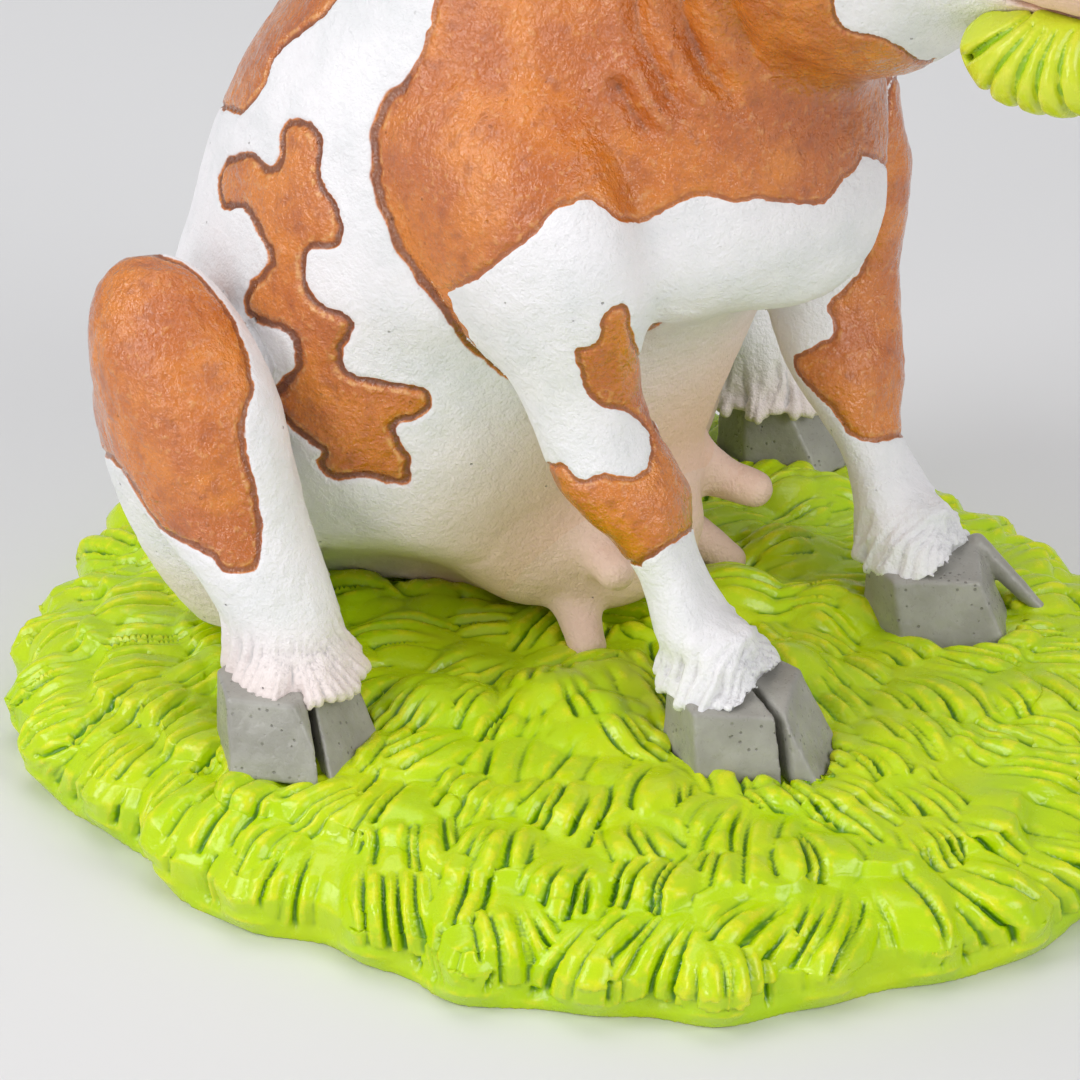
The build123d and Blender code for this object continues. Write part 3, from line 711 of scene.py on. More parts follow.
def fold_lift(points, normals, side):
    """How far the folds of the neck lift or sink each point."""
    mirror = np.array([side, 1, 1])
    pixels, depth = photo_pixels(points * mirror)
    lift = np.zeros(len(points))
    for fold in NECK_FOLDS:
        knots = np.array(fold, float)
        best = np.full(len(points), np.inf)
        run = np.zeros(len(points))
        for number, (start, end) in enumerate(zip(knots[:-1], knots[1:])):
            along, length = line_distance(pixels, start, end)[1:]
            nearer = length < best
            best[nearer] = length[nearer]
            run[nearer] = (number + along[nearer]) / (len(knots) - 1)
        away = np.sqrt(best) * depth / FOCAL_PIXELS
        groove = np.exp(-(away / FOLD_HALF_WIDTH) ** 2)
        beside = away - FOLD_LIP_PLACE_SHARE * FOLD_HALF_WIDTH
        lip = np.exp(-(beside / (FOLD_LIP_WIDTH_SHARE * FOLD_HALF_WIDTH)) ** 2)
        lift += (FOLD_LIP * lip - FOLD_DEPTH * groove) * (1 - step_between(*FOLD_FADE_SHARES, run))
    return lift * step_between(*FOLD_FACING, (normals * mirror) @ VIEW_TOWARD)


def changed_outline(corners, shift, shares):
    """An outline moved and stretched about its middle, for the side that the photograph doesn't show."""
    knots = np.array(corners, float)
    middle = knots.mean(axis=0)
    return (knots - middle) * np.array(shares) + middle + np.array(shift)


FAR_FLANK_PATCH = changed_outline(FLANK_PATCH, FAR_FLANK_SHIFT, FAR_FLANK_SHARES)

# Which patches lie on which casting: outline, side, edge width in millimetres, edge strength and how far
# it wraps round.
PATCHES = {
    "torso": (
        (FLANK_PATCH, 1, 1.25, 1.0, 0.0),
        (FAR_FLANK_PATCH, -1, 1.25, 1.0, 0.0),
        (CAPE_PATCH, 1, 0.8, 0.45, 0.4),
        (CAPE_PATCH, -1, 0.8, 0.45, 0.4),
        (BACK_PATCH, 1, 1.0, 0.8, 0.45),
    ),
    "head": (
        (HEAD_PATCH, 1, 0.8, 0.7, 0.3),
        (HEAD_PATCH, -1, 0.8, 0.7, 0.3),
    ),
    "foreleg_right": (
        (SHOULDER_PATCH, 1, 0.8, 0.45, 0.5),
        (NEAR_FORELEG_PATCH, 1, 0.9, 0.6, 0.55),
    ),
    "foreleg_left": (
        (SHOULDER_PATCH, -1, 0.8, 0.45, 0.5),
        (FAR_FORELEG_PATCH, 1, 0.9, 0.6, 0.6),
    ),
    "hind_leg_right": ((KNEE_PATCH, 1, 1.0, 0.75, 0.65),),
    "hind_leg_left": ((KNEE_PATCH, -1, 1.0, 0.75, 0.65),),
    "udder": (),
    "tail": (),
}
# The brown strap on the torso round each foreleg: it starts below its low end and widens upward.
STRAP_WIDTH = 1.8
STRAP_THIN = 1.3
STRAP_START = 32.0
STRAP_FULL = 38.0
STRAP_LOW = 46.0
STRAP_HIGH = 74.0
STRAP_FRONT_Y = -18.0
STRAP_LEAST_WIDTH = 0.1
STRAP_EDGE = 0.9
STRAP_JAG = ((0.3, 1.5, 77),)
GROOVE_DEPTH = 0.45
HAIR_GROOVES = 30
HAIR_GROOVE_DEPTH = 0.4
HAIR_RISE_NOISE = ((0.8, 2.0, 91),)
HAIR_TURN_NOISE = ((0.45, 3.5, 92),)
HAIR_LEAN = 0.04
HAIR_SHARPNESS = 3
HAIR_FULL_RISE = 3.0
HAIR_END_RISE = 7.5
# Where the paint turns from white to brown and where its groove runs, as depths inside a patch.
PAINT_EDGE = 1.2
BROWN_START = 0.9
BROWN_FULL = 2.0
GROOVE_OPENS = (-0.15, 0.25)
GROOVE_CLOSES = (0.75, 1.35)
COAT_RANGE = (-4, 8)
# The cast grain: height, width of its features and seed.
COAT_GRAIN = ((0.07, 1.6, 5), (0.12, 5.0, 6))
BROWN_GRAIN = ((0.09, 1.15, 8), (0.10, 2.6, 9))
UDDER_MIDDLE = np.array([0.0, 0.0, 20.0])
PEACH_NEAR = 15.0
PEACH_FAR = 42.0
PEACH_SHARES = np.array([1.0, 1.0, 0.9])
UDDER_PEACH = 0.85
HIND_HAIR_PEACH = 0.35
HIND_HAIR_LOW = 20.0
HIND_HAIR_HIGH = 30.0
MUZZLE_START = 52.0
MUZZLE_FULL = 60.0


def near_foreleg(grids, points):
    """Distance from points to the nearer foreleg."""
    nearest = np.full(len(points), grids.band)
    for leg in ("foreleg_right", "foreleg_left"):
        window = grids.window(leg, FETLOCK_MARGIN)
        place = points / grids.voxel - window.start
        held = np.all((place > 0) & (place < window.count - 1), axis=1)
        nearest[held] = np.minimum(nearest[held], window.sample(window.field(leg), points[held]))
    return nearest


def coat_paint(grids, name, points, normals):
    """Depth inside the brown patches, with each painted edge one width wide, and how strong that edge is."""
    coat = np.full(len(points), PATCH_OUTSIDE)
    edges = np.zeros(len(points))
    for number, (outline, side, edge, strength, wrap) in enumerate(PATCHES[name]):
        depth = patch_depth(points, normals, outline, side, wrap, number * 7 + 3) * PAINT_EDGE / edge
        if name == "torso":
            depth[points[:, 0] * side > PATCH_CROSS] = PATCH_OUTSIDE
        edges = np.where(depth > coat, strength, edges)
        coat = np.maximum(coat, depth)
    if name == "torso":
        width = STRAP_WIDTH * step_between(STRAP_LOW, STRAP_HIGH, points[:, 2]) + STRAP_THIN
        width *= step_between(STRAP_START, STRAP_FULL, points[:, 2]) * (points[:, 1] > STRAP_FRONT_Y)
        strap = width - near_foreleg(grids, points) + noise_sum(points, STRAP_JAG)
        strap = np.where(width > STRAP_LEAST_WIDTH, strap, PATCH_OUTSIDE)
        edges = np.where(strap > coat, STRAP_EDGE, edges)
        coat = np.maximum(coat, strap)
    return coat, edges


def peach_blush(name, points):
    """The share of peach paint: udder, belly near it, muzzle and the hair over the hind hooves."""
    if name == "udder":
        return np.full(len(points), UDDER_PEACH)
    if name == "head":
        return step_between(MUZZLE_START, MUZZLE_FULL, -points[:, 1])
    if name == "torso":
        away = np.linalg.norm((points - UDDER_MIDDLE) * PEACH_SHARES, axis=1)
        return 1 - step_between(PEACH_NEAR, PEACH_FAR, away)
    share = HIND_HAIR_PEACH if name.startswith("hind_leg") else 0.0
    return share * (1 - step_between(HIND_HAIR_LOW, HIND_HAIR_HIGH, points[:, 2]))


def hair_grooves(name, points):
    """Depth, from 0 to 1, of the grooves between the hairs over a hoof."""
    low, high = node_box(FEET[name])
    middle = (low + high) / 2
    angle = np.arctan2(points[:, 1] - middle[1], points[:, 0] - middle[0])
    rise = points[:, 2] - high[2] + noise_sum(points, HAIR_RISE_NOISE)
    phase = angle * HAIR_GROOVES / (2 * math.pi) + noise_sum(points, HAIR_TURN_NOISE) + HAIR_LEAN * rise
    groove = (0.5 + 0.5 * np.cos(2 * math.pi * phase)) ** HAIR_SHARPNESS
    away = np.linalg.norm(points[:, :2] - middle[:2], axis=1)
    return groove * (1 - step_between(HAIR_FULL_RISE, HAIR_END_RISE, rise)) * (away < FETLOCK_REACH)


def groove_profile(coat):
    """Depth, from 0 to 1, of the engraved line along a patch's edge."""
    return step_between(*GROOVE_OPENS, coat) * (1 - step_between(*GROOVE_CLOSES, coat))


def coat_piece(grids, name):
    """One casting with its grain, grooves and folds, and what its paint needs to know."""
    points, faces, sunk = skin_piece(grids, name)
    normals = vertex_normals(points, faces)
    coat, edges = coat_paint(grids, name, points, normals)
    brown = step_between(BROWN_START, BROWN_FULL, coat)
    lift = noise_sum(points, COAT_GRAIN) + brown * noise_sum(points, BROWN_GRAIN)
    lift -= GROOVE_DEPTH * edges * groove_profile(coat)
    if name in FEET:
        lift -= HAIR_GROOVE_DEPTH * hair_grooves(name, points)
    if name in ("torso", "head"):
        for side in (1, -1):
            lift += brown * fold_lift(points, normals, side)
    points = points + normals * (lift - SEAM_SINK * sunk)[:, None]
    return build_object("skin_" + name, points, faces.tolist(), {
        "coat": np.clip(coat, *COAT_RANGE),
        "edge": edges,
        "peach": peach_blush(name, points),
        "hollow": hollow_depth(points, faces, rounds=5),
    })


# Grass: the mound remeshed and modelled in overlapping tufts, each with slits carved down it

MOUND_MIDDLE = np.array([0.0, 3.0, 0.0])
POCKET_FILL_Z = 12.2
POCKET_FILL_GAP = 0.4
GRASS_START_Z = 1.0
GRASS_FULL_Z = 2.6
TUFT_SPACING = 7.4
TUFT_LENGTH = 15.5
TUFT_HALF_WIDTH = 6.2
TUFT_HEIGHT = 1.15
# Tufts vary: the least share of each size and how much a draw adds.
TUFT_SIZE_SHARES = (0.75, 0.4)
TUFT_LENGTH_SHARES = (0.9, 0.3)
TUFT_WIDTH_SHARES = (0.85, 0.35)
TUFT_HEIGHT_SHARES = (0.75, 0.5)
WALL_HEIGHT_SHARE = 0.12
TUFT_THICKNESS = 4.0
TUFT_SEARCH_SHARE = 0.62
TUFT_TURN_SPREAD = 0.18
# How a tuft rises and ends, as shares of its length.
TUFT_END_SHARE = 0.1
TUFT_RISE_SHARES = (-0.1, 0.6)
TUFT_FALL_SHARES = (0.68, 1.05)
LIP_ROUND = 0.25
LIP_WAVE = 0.05
LIP_WAVES = 7.0
LIP_SHIFT = 9
SLIT_DEPTH = 1.3
SLIT_COUNTS = (4, 7)
SLIT_SCATTER = 0.38
SLIT_LEAN = 0.25
SLIT_LEAN_SPREAD = 0.12
SLIT_BEND = 0.8
SLIT_START_SHARES = (0.02, 0.45)
SLIT_END_SHARES = (0.82, 0.18)
SLIT_DEPTH_SHARES = (0.2, 0.9)
SLIT_FAN_SHARES = (0.72, 0.35)
SLIT_HALF_WIDTHS = (0.30, 0.26)
SLIT_FADE_IN = 0.35
SLIT_FADE_OUT = 0.12
SLIT_FAR = 9.0
BULGE = 0.4
BULGE_WIDTH = 1.1
BULGE_SHARES = (0.1, 0.6)
# How the tufts turn over the mound, and its lumps: height, width of the features and seed.
GRASS_SWIRL = ((0.75, 22.0, 61), (0.35, 9.0, 62))
GRASS_LUMPS = ((0.35, 7.0, 31), (0.12, 2.6, 32))
GRASS_SINK = 0.6
GRASS_FACING = (-0.5, -0.1)
SWIRL_FACING = (0.3, 0.9)
HEAP_FACING = (0.5, 0.9)
WALL_FALL = 1.5
# Tall clumps of grass near the belly and the feet.
HEAP_PLACES = (
    (-26, -9), (-29, -17), (-19, -12), (-34, 1), (22, -9), (7, -10),
    (12, -22), (-5, -27), (36, -2), (-19, 25), (-13, 17), (-26, 29),
)
HEAP_RADIUS = 7.0
HEAP_HEIGHT = 2.4
GROUND_LEVEL = 0.02


def scatter(points, allowed, spacing, steps):
    """Numbers of points no nearer to each other than the spacing."""
    cells = {}
    chosen = []
    nearby = [(x, y, z) for x in (-1, 0, 1) for y in (-1, 0, 1) for z in (-1, 0, 1)]
    for index in steps.permutation(np.flatnonzero(allowed)):
        place = points[index]
        key = np.floor(place / spacing).astype(int)
        others = [other for step in nearby for other in cells.get(tuple(key + step), ())]
        if all(np.sum((other - place) ** 2) >= spacing * spacing for other in others):
            cells.setdefault(tuple(key), []).append(place)
            chosen.append(index)
    return chosen


def point_tree(points):
    tree = kdtree.KDTree(len(points))
    for index, place in enumerate(points):
        tree.insert(place, index)
    tree.balance()
    return tree


def stamp_tuft(tree, points, heights, carved, place, along, up, size, slit_count, steps):
    """Models one tuft: a tongue of turf that thickens toward its lip, with bent slits that open toward it."""
    length = TUFT_LENGTH * size * vary(TUFT_LENGTH_SHARES, steps.rand())
    half_width = TUFT_HALF_WIDTH * size * vary(TUFT_WIDTH_SHARES, steps.rand())
    height = TUFT_HEIGHT * size * vary(TUFT_HEIGHT_SHARES, steps.rand())
    height *= vary((WALL_HEIGHT_SHARE, 1 - WALL_HEIGHT_SHARE), up[2])
    across = np.cross(up, along)
    numbers = np.arange(slit_count) + 0.5 + SLIT_SCATTER * steps.randn(slit_count)
    lines = np.sort(numbers / slit_count * 2 - 1)
    leans = SLIT_LEAN * steps.randn() + SLIT_LEAN_SPREAD * steps.randn(slit_count)
    bend = SLIT_BEND * steps.randn()
    starts = vary(SLIT_START_SHARES, steps.rand(slit_count))
    ends = vary(SLIT_END_SHARES, steps.rand(slit_count))
    depths = vary(SLIT_DEPTH_SHARES, steps.rand(slit_count))
    found = tree.find_range(Vector(place), TUFT_SEARCH_SHARE * length + half_width)
    if not found:
        return
    index = np.fromiter((row[1] for row in found), np.int64, len(found))
    offset = points[index] - place
    share = offset @ along / length + 0.5
    side = offset @ across / half_width
    held = (np.abs(offset @ up) < TUFT_THICKNESS) & (np.abs(side) < 1.0)
    held &= (share > -TUFT_END_SHARE) & (share < 1 + TUFT_END_SHARE)
    index, share, side = index[held], share[held], side[held]
    lip = 1.0 - LIP_ROUND * side ** 2 + LIP_WAVE * np.cos(LIP_WAVES * side + bend * LIP_SHIFT)
    run = share / lip
    flank = np.sqrt(1 - side ** 2)
    body = step_between(*TUFT_RISE_SHARES, run) * (1 - step_between(*TUFT_FALL_SHARES, run)) * flank
    slit = np.zeros(len(index))
    gaps = np.full(len(index), SLIT_FAR)
    for line, lean, start, end, depth in zip(lines, leans, starts, ends, depths):
        middle = line * vary(SLIT_FAN_SHARES, run) + lean * (run - 0.5) + bend * (run - 0.5) ** 2
        gap = np.abs(side - middle) * half_width
        width = vary(SLIT_HALF_WIDTHS, np.clip(run, 0, 1))
        opening = step_between(start, start + SLIT_FADE_IN, run)
        closing = 1 - step_between(end, end + SLIT_FADE_OUT, run)
        slit = np.maximum(slit, depth * np.clip(1 - (gap / width) ** 2, 0, 1) * (opening * closing))
        gaps = np.minimum(gaps, gap)
    bulge = BULGE * (WALL_HEIGHT_SHARE + up[2]) * step_between(0.0, BULGE_WIDTH, gaps)
    bulge = bulge * step_between(*BULGE_SHARES, run) * body
    value = height * body + bulge
    better = value > heights[index]
    heights[index[better]] = value[better]
    carved[index[better]] = (slit * np.sqrt(flank))[better]


def flat_underside(points, faces):
    """Which points are kept and the faces as lists, with those on the ground joined into one."""
    grounded = np.all(points[faces][:, :, 2] < GROUND_LEVEL, axis=1)
    firsts = faces[grounded].ravel()
    seconds = np.roll(faces[grounded], -1, axis=1).ravel()
    edges = set(zip(firsts.tolist(), seconds.tolist()))
    border = {first: second for first, second in edges if (second, first) not in edges}
    ring = [min(border)]
    while border[ring[-1]] != ring[0]:
        ring.append(border[ring[-1]])
    if len(ring) != len(border):
        return np.ones(len(points), bool), faces.tolist()
    used = np.zeros(len(points), bool)
    used[faces[~grounded].ravel()] = True
    number = np.cumsum(used) - 1
    return used, number[faces[~grounded]].tolist() + [number[ring].tolist()]


def heaps(points):
    """Height of the tall clumps that stand near the belly and the feet."""
    total = np.zeros(len(points))
    for place in HEAP_PLACES:
        away = np.linalg.norm(points[:, :2] - np.array(place), axis=1) / HEAP_RADIUS
        total = np.maximum(total, HEAP_HEIGHT * np.clip(1 - away ** 2, 0, 1))
    return total


def grass_piece(steps):
    """The mound with its sockets closed, covered in tufts from top to rim."""
    base = Grids(GRASS_VOXEL)
    window = base.window("grass_base", GRASS_MARGIN)
    values = window.field("grass_base")
    seated = ("torso", "udder", "tail", "seat_dowels", "hoof_pins") + HOOF_NODES
    sunk = np.minimum.reduce([window.field(node) for node in seated])
    values = np.minimum(values, np.maximum(sunk - POCKET_FILL_GAP, window.points()[2] - POCKET_FILL_Z))
    points, faces = window.surface(values)
    points = relax(points, faces, rounds=4)
    normals = vertex_normals(points, faces)
    shown = step_between(*GRASS_FACING, normals[:, 2])
    shown = shown * step_between(GRASS_START_Z, GRASS_FULL_Z, points[:, 2])
    tree = point_tree(points)
    heights = np.zeros(len(points))
    carved = np.zeros(len(points))
    swirl = noise_sum(points, GRASS_SWIRL)
    for index in scatter(points, shown > 0.5, TUFT_SPACING, steps):
        up = normals[index]
        outward = points[index] - MOUND_MIDDLE
        outward[2] = 0.0
        outward /= np.linalg.norm(outward) + 1e-9
        fall = outward - np.array([0.0, 0.0, WALL_FALL * (1 - up[2])])
        turn = swirl[index] * step_between(*SWIRL_FACING, up[2]) + TUFT_TURN_SPREAD * steps.randn()
        along = fall - up * (fall @ up)
        along /= np.linalg.norm(along) + 1e-9
        along = along * math.cos(turn) + np.cross(up, along) * math.sin(turn)
        size = vary(TUFT_SIZE_SHARES, steps.rand())
        slit_count = steps.randint(*SLIT_COUNTS)
        stamp_tuft(tree, points, heights, carved, points[index], along, up, size, slit_count, steps)
    lift = heights + heaps(points) * step_between(*HEAP_FACING, normals[:, 2])
    lift = lift + noise_sum(points, GRASS_LUMPS) - SLIT_DEPTH * carved - GRASS_SINK
    points = points + normals * (lift * shown)[:, None]
    points[:, 2] = np.maximum(points[:, 2], 0.0)
    hollow = hollow_depth(points, faces, rounds=6)
    # The slit depth is carried on for the painted shade in the slits.
    slit = carved * shown
    used, rows = flat_underside(points, faces)
    return build_object("grass_mound", points[used], rows, {"hollow": hollow[used], "slit": slit[used]})


# Grass in the mouth, hair of the tail, hooves and ears

# Grooves of the bunch in the mouth: where each starts and ends, as shares of its length and of its height.
FODDER_GROOVE_SHARES = (
    ((0.42, 0.95), (0.06, 0.42)), ((0.48, 0.90), (0.20, 0.12)), ((0.55, 0.88), (0.38, -0.02)),
    ((0.62, 0.88), (0.56, -0.05)), ((0.70, 0.90), (0.74, 0.0)), ((0.78, 0.95), (0.92, 0.14)),
)
FODDER_GROOVE_HALF_WIDTH = 0.3
FODDER_GROOVE_DEPTH = 1.3
FODDER_WIDTH_SHARES = (0.4, 1.0)
FODDER_DEPTH_SHARES = (0.3, 0.7)
FODDER_BLEND = 0.9
FODDER_LUMPS = ((0.3, 4.0, 45), (0.1, 1.5, 46))
FODDER_SLIT = 1.3
FODDER_SLIT_HOLLOW = 0.25


def fodder_piece():
    """The bunch that hangs out of the mouth, with grooves that fan back along the jaw."""
    grid = Grids(FINE_VOXEL)
    window = grid.window("mouth_grass", GRASS_MARGIN)
    base = window.field("mouth_grass")
    low, high = node_box("mouth_grass")
    size = high - low
    y, z = window.points()[1:]
    values = base
    for start, end in FODDER_GROOVE_SHARES:
        first = np.array([high[1] - start[0] * size[1], low[2] + start[1] * size[2]])
        line = np.array([high[1] - end[0] * size[1], low[2] + end[1] * size[2]]) - first
        run = np.clip(((y - first[0]) * line[0] + (z - first[1]) * line[1]) / (line @ line), 0.0, 1.0)
        away = np.hypot(y - first[0] - run * line[0], z - first[1] - run * line[1])
        width = FODDER_GROOVE_HALF_WIDTH * vary(FODDER_WIDTH_SHARES, run)
        depth = FODDER_GROOVE_DEPTH * vary(FODDER_DEPTH_SHARES, run)
        values = smooth_cut(values, np.maximum(away - width, -(base + depth)), FODDER_BLEND)
    points, faces = window.surface(values)
    points = relax(points, faces, rounds=2)
    normals = vertex_normals(points, faces)
    points = points + normals * noise_sum(points, FODDER_LUMPS)[:, None]
    hollow = hollow_depth(points, faces, rounds=7)
    # The slit share only drives the painted shade in the grooves.
    slit = FODDER_SLIT * step_between(0.0, FODDER_SLIT_HOLLOW, hollow)
    return build_object("fodder", points, faces.tolist(), {"hollow": hollow, "slit": slit})


SWITCH_STRANDS = 60
SWITCH_LINE = np.array([0.93, -0.37, 0.0])
SWITCH_SINK = 0.5
SWITCH_SPACING = 1.5
SWITCH_LEAN = 0.12
# Both ends of a strand: how far along it and how far above the surface.
SWITCH_START = (-2.2, -0.25)
SWITCH_END = (2.6, -0.1)
SWITCH_RADII = (0.75, 0.45)
SWITCH_BLEND = 0.2


def switch_piece(steps):
    """The hair at the tail's end, in strands that run along it."""
    grid = Grids(FINE_VOXEL)
    window = grid.window("tail_tuft", SMALL_MARGIN)
    values = window.field("tail_tuft") + SWITCH_SINK
    points, faces = window.surface(values)
    normals = vertex_normals(points, faces)
    roots = scatter(points, np.ones(len(points), bool), SWITCH_SPACING, steps)[:SWITCH_STRANDS]
    for index in roots:
        up = normals[index]
        along = SWITCH_LINE - up * (SWITCH_LINE @ up)
        along += SWITCH_LEAN * steps.randn() * np.cross(up, along)
        start, end = (points[index] + run * along + rise * up for run, rise in (SWITCH_START, SWITCH_END))
        stamp_lock(window, values, start, end, *SWITCH_RADII, SWITCH_BLEND)
    points, faces = window.surface(values)
    points = relax(points, faces, rounds=2)
    return build_object("switch", points, faces.tolist(), {"hollow": hollow_depth(points, faces, rounds=5)})


# Facets of a hoof: turn from the toe in degrees, how far each leans back, and how deep it cuts.
BACK_FACETS = ((150.0, 0.08, 0.4), (-150.0, 0.08, 0.4))
FACETS = ((-95.0, 0.02, -0.2), (-28.0, 0.24, 0.7), (45.0, 0.6, 0.5), (100.0, 0.2, 0.4)) + BACK_FACETS
# The left fore hoof has one broad claw and a thin one that stands off from it.
SPLAYED_HOOF = "forehoof_left"
SPLAYED_FACETS = ((-95.0, 0.02, -0.4), (-37.0, 0.24, 1.8), (45.0, 0.45, 2.0), (100.0, 0.2, 1.0)) + BACK_FACETS
THIN_CLAW = ((25.9, -33.3, 20.3), (28.8, -40.7, 13.0))
THIN_CLAW_RADII = (1.5, 0.8)
THIN_CLAW_BLEND = 0.4
# The hooves whose facets run the other way round.
MIRRORED_HOOVES = ("hind_hoof_left",)
TOP_SLOPE = 0.12
CLEFT_HALF_WIDTH = 0.32
CLEFT_SPREAD = 0.03
CLEFT_START = 0.5
CLEFT_BLEND = 0.3
FACET_BLEND = 0.35
FACET_TURN_SPREAD = 3.0
SOLE_HEIGHT = 1.0
HOOF_GRAIN = ((0.07, 2.4), (0.05, 0.9))


def hoof_piece(node, steps):
    """A hoof in flat facets, split by a narrow cleft, with worked edges."""
    grid = Grids(FINE_VOXEL)
    window = grid.window(node, HOOF_MARGIN)
    corners, _ = node_triangles(node)
    low, high = node_box(node)
    foot = corners[corners[:, 2] < low[2] + SOLE_HEIGHT]
    x, y, z = window.points()
    values = np.maximum(low[2] - z, z - high[2]) + 0 * x + 0 * y
    way = -1 if node in MIRRORED_HOOVES else 1
    for turn, lean, cut in SPLAYED_FACETS if node == SPLAYED_HOOF else FACETS:
        angle = math.radians(TOE_ANGLES[node] + way * turn + FACET_TURN_SPREAD * steps.randn())
        facing = np.array([math.cos(angle), math.sin(angle), lean])
        facing /= np.linalg.norm(facing)
        plane = x * facing[0] + y * facing[1] + z * facing[2] - (foot @ facing).max() + cut
        values = smooth_cut(values, -plane, FACET_BLEND)
    middle = (low + high) / 2
    if node.startswith("fore"):
        angle = math.radians(TOE_ANGLES[node] + HANG_TURN)
        ahead = (x - middle[0]) * math.cos(angle) + (y - middle[1]) * math.sin(angle)
        values = smooth_cut(values, high[2] - z - TOP_SLOPE * ahead, FACET_BLEND)
    if node == SPLAYED_HOOF:
        stamp_lock(window, values, *THIN_CLAW, *THIN_CLAW_RADII, THIN_CLAW_BLEND)
    else:
        toe = math.radians(TOE_ANGLES[node])
        along = (x - middle[0]) * math.cos(toe) + (y - middle[1]) * math.sin(toe)
        across = (y - middle[1]) * math.cos(toe) - (x - middle[0]) * math.sin(toe)
        slot = np.abs(across) - CLEFT_HALF_WIDTH - CLEFT_SPREAD * np.maximum(along, 0)
        values = smooth_cut(values, np.maximum(slot, CLEFT_START - along) + 0 * z, CLEFT_BLEND)
    values = np.clip(values, -grid.band, grid.band)
    points, faces = window.surface(values)
    points = relax(points, faces, rounds=2)
    normals = vertex_normals(points, faces)
    seed = steps.randint(1000)
    grain = [(height, width, seed + k) for k, (height, width) in enumerate(HOOF_GRAIN)]
    points = points + normals * noise_sum(points, grain)[:, None]
    hollow = hollow_depth(points, faces, rounds=4)
    return build_object("shaped_" + node, points, faces.tolist(), {"hollow": hollow})


EAR_HOLLOW = 1.1
EAR_HOLLOW_SHARES = (0.8, 0.7)
EAR_FRONT = (0.2, 0.7)
EAR_GRAIN = ((0.07, 1.3, 83),)


def ear_piece(node):
    """An ear with a hollowed front and a rolled edge."""
    grid = Grids(FINE_VOXEL)
    window = grid.window(node, SMALL_MARGIN)
    points, faces = window.surface(window.field(node))
    points = relax(points, faces, rounds=2)
    normals = vertex_normals(points, faces)
    low, high = points.min(axis=0), points.max(axis=0)
    share = (points - low) / (high - low) * 2 - 1
    wide, tall = EAR_HOLLOW_SHARES
    inner = np.clip(1 - (share[:, 0] / wide) ** 2 - (share[:, 2] / tall) ** 2, 0, 1)
    front = step_between(*EAR_FRONT, -normals[:, 1])
    lift = noise_sum(points, EAR_GRAIN) - EAR_HOLLOW * np.sqrt(inner) * front
    points = points + normals * lift[:, None]
    return build_object("shaped_" + node, points, faces.tolist(), {
        "hollow": hollow_depth(points, faces, rounds=4),
        "inner": inner * front,
    })


# All pieces, in one order of random draws

random_steps = np.random.RandomState(12)
skin_grids = Grids(SKIN_VOXEL)
for leg, hoof in FEET.items():
    fill_sockets(skin_grids, leg, hoof)
sculpt_swells(skin_grids)
sculpt_udder(skin_grids)
for leg, hoof in FEET.items():
    cover_pin(skin_grids, leg, hoof)
    sculpt_fetlock(skin_grids, leg, hoof, random_steps)
sculpt_head(skin_grids, random_steps)
pieces = {name: coat_piece(skin_grids, name) for name in SKIN_NODES}
pieces["grass_base"] = grass_piece(random_steps)
pieces["mouth_grass"] = fodder_piece()
pieces["tail_tuft"] = switch_piece(random_steps)
for node in HOOF_NODES:
    pieces[node] = hoof_piece(node, random_steps)
for node in ("ear_right", "ear_left"):
    pieces[node] = ear_piece(node)


# Materials

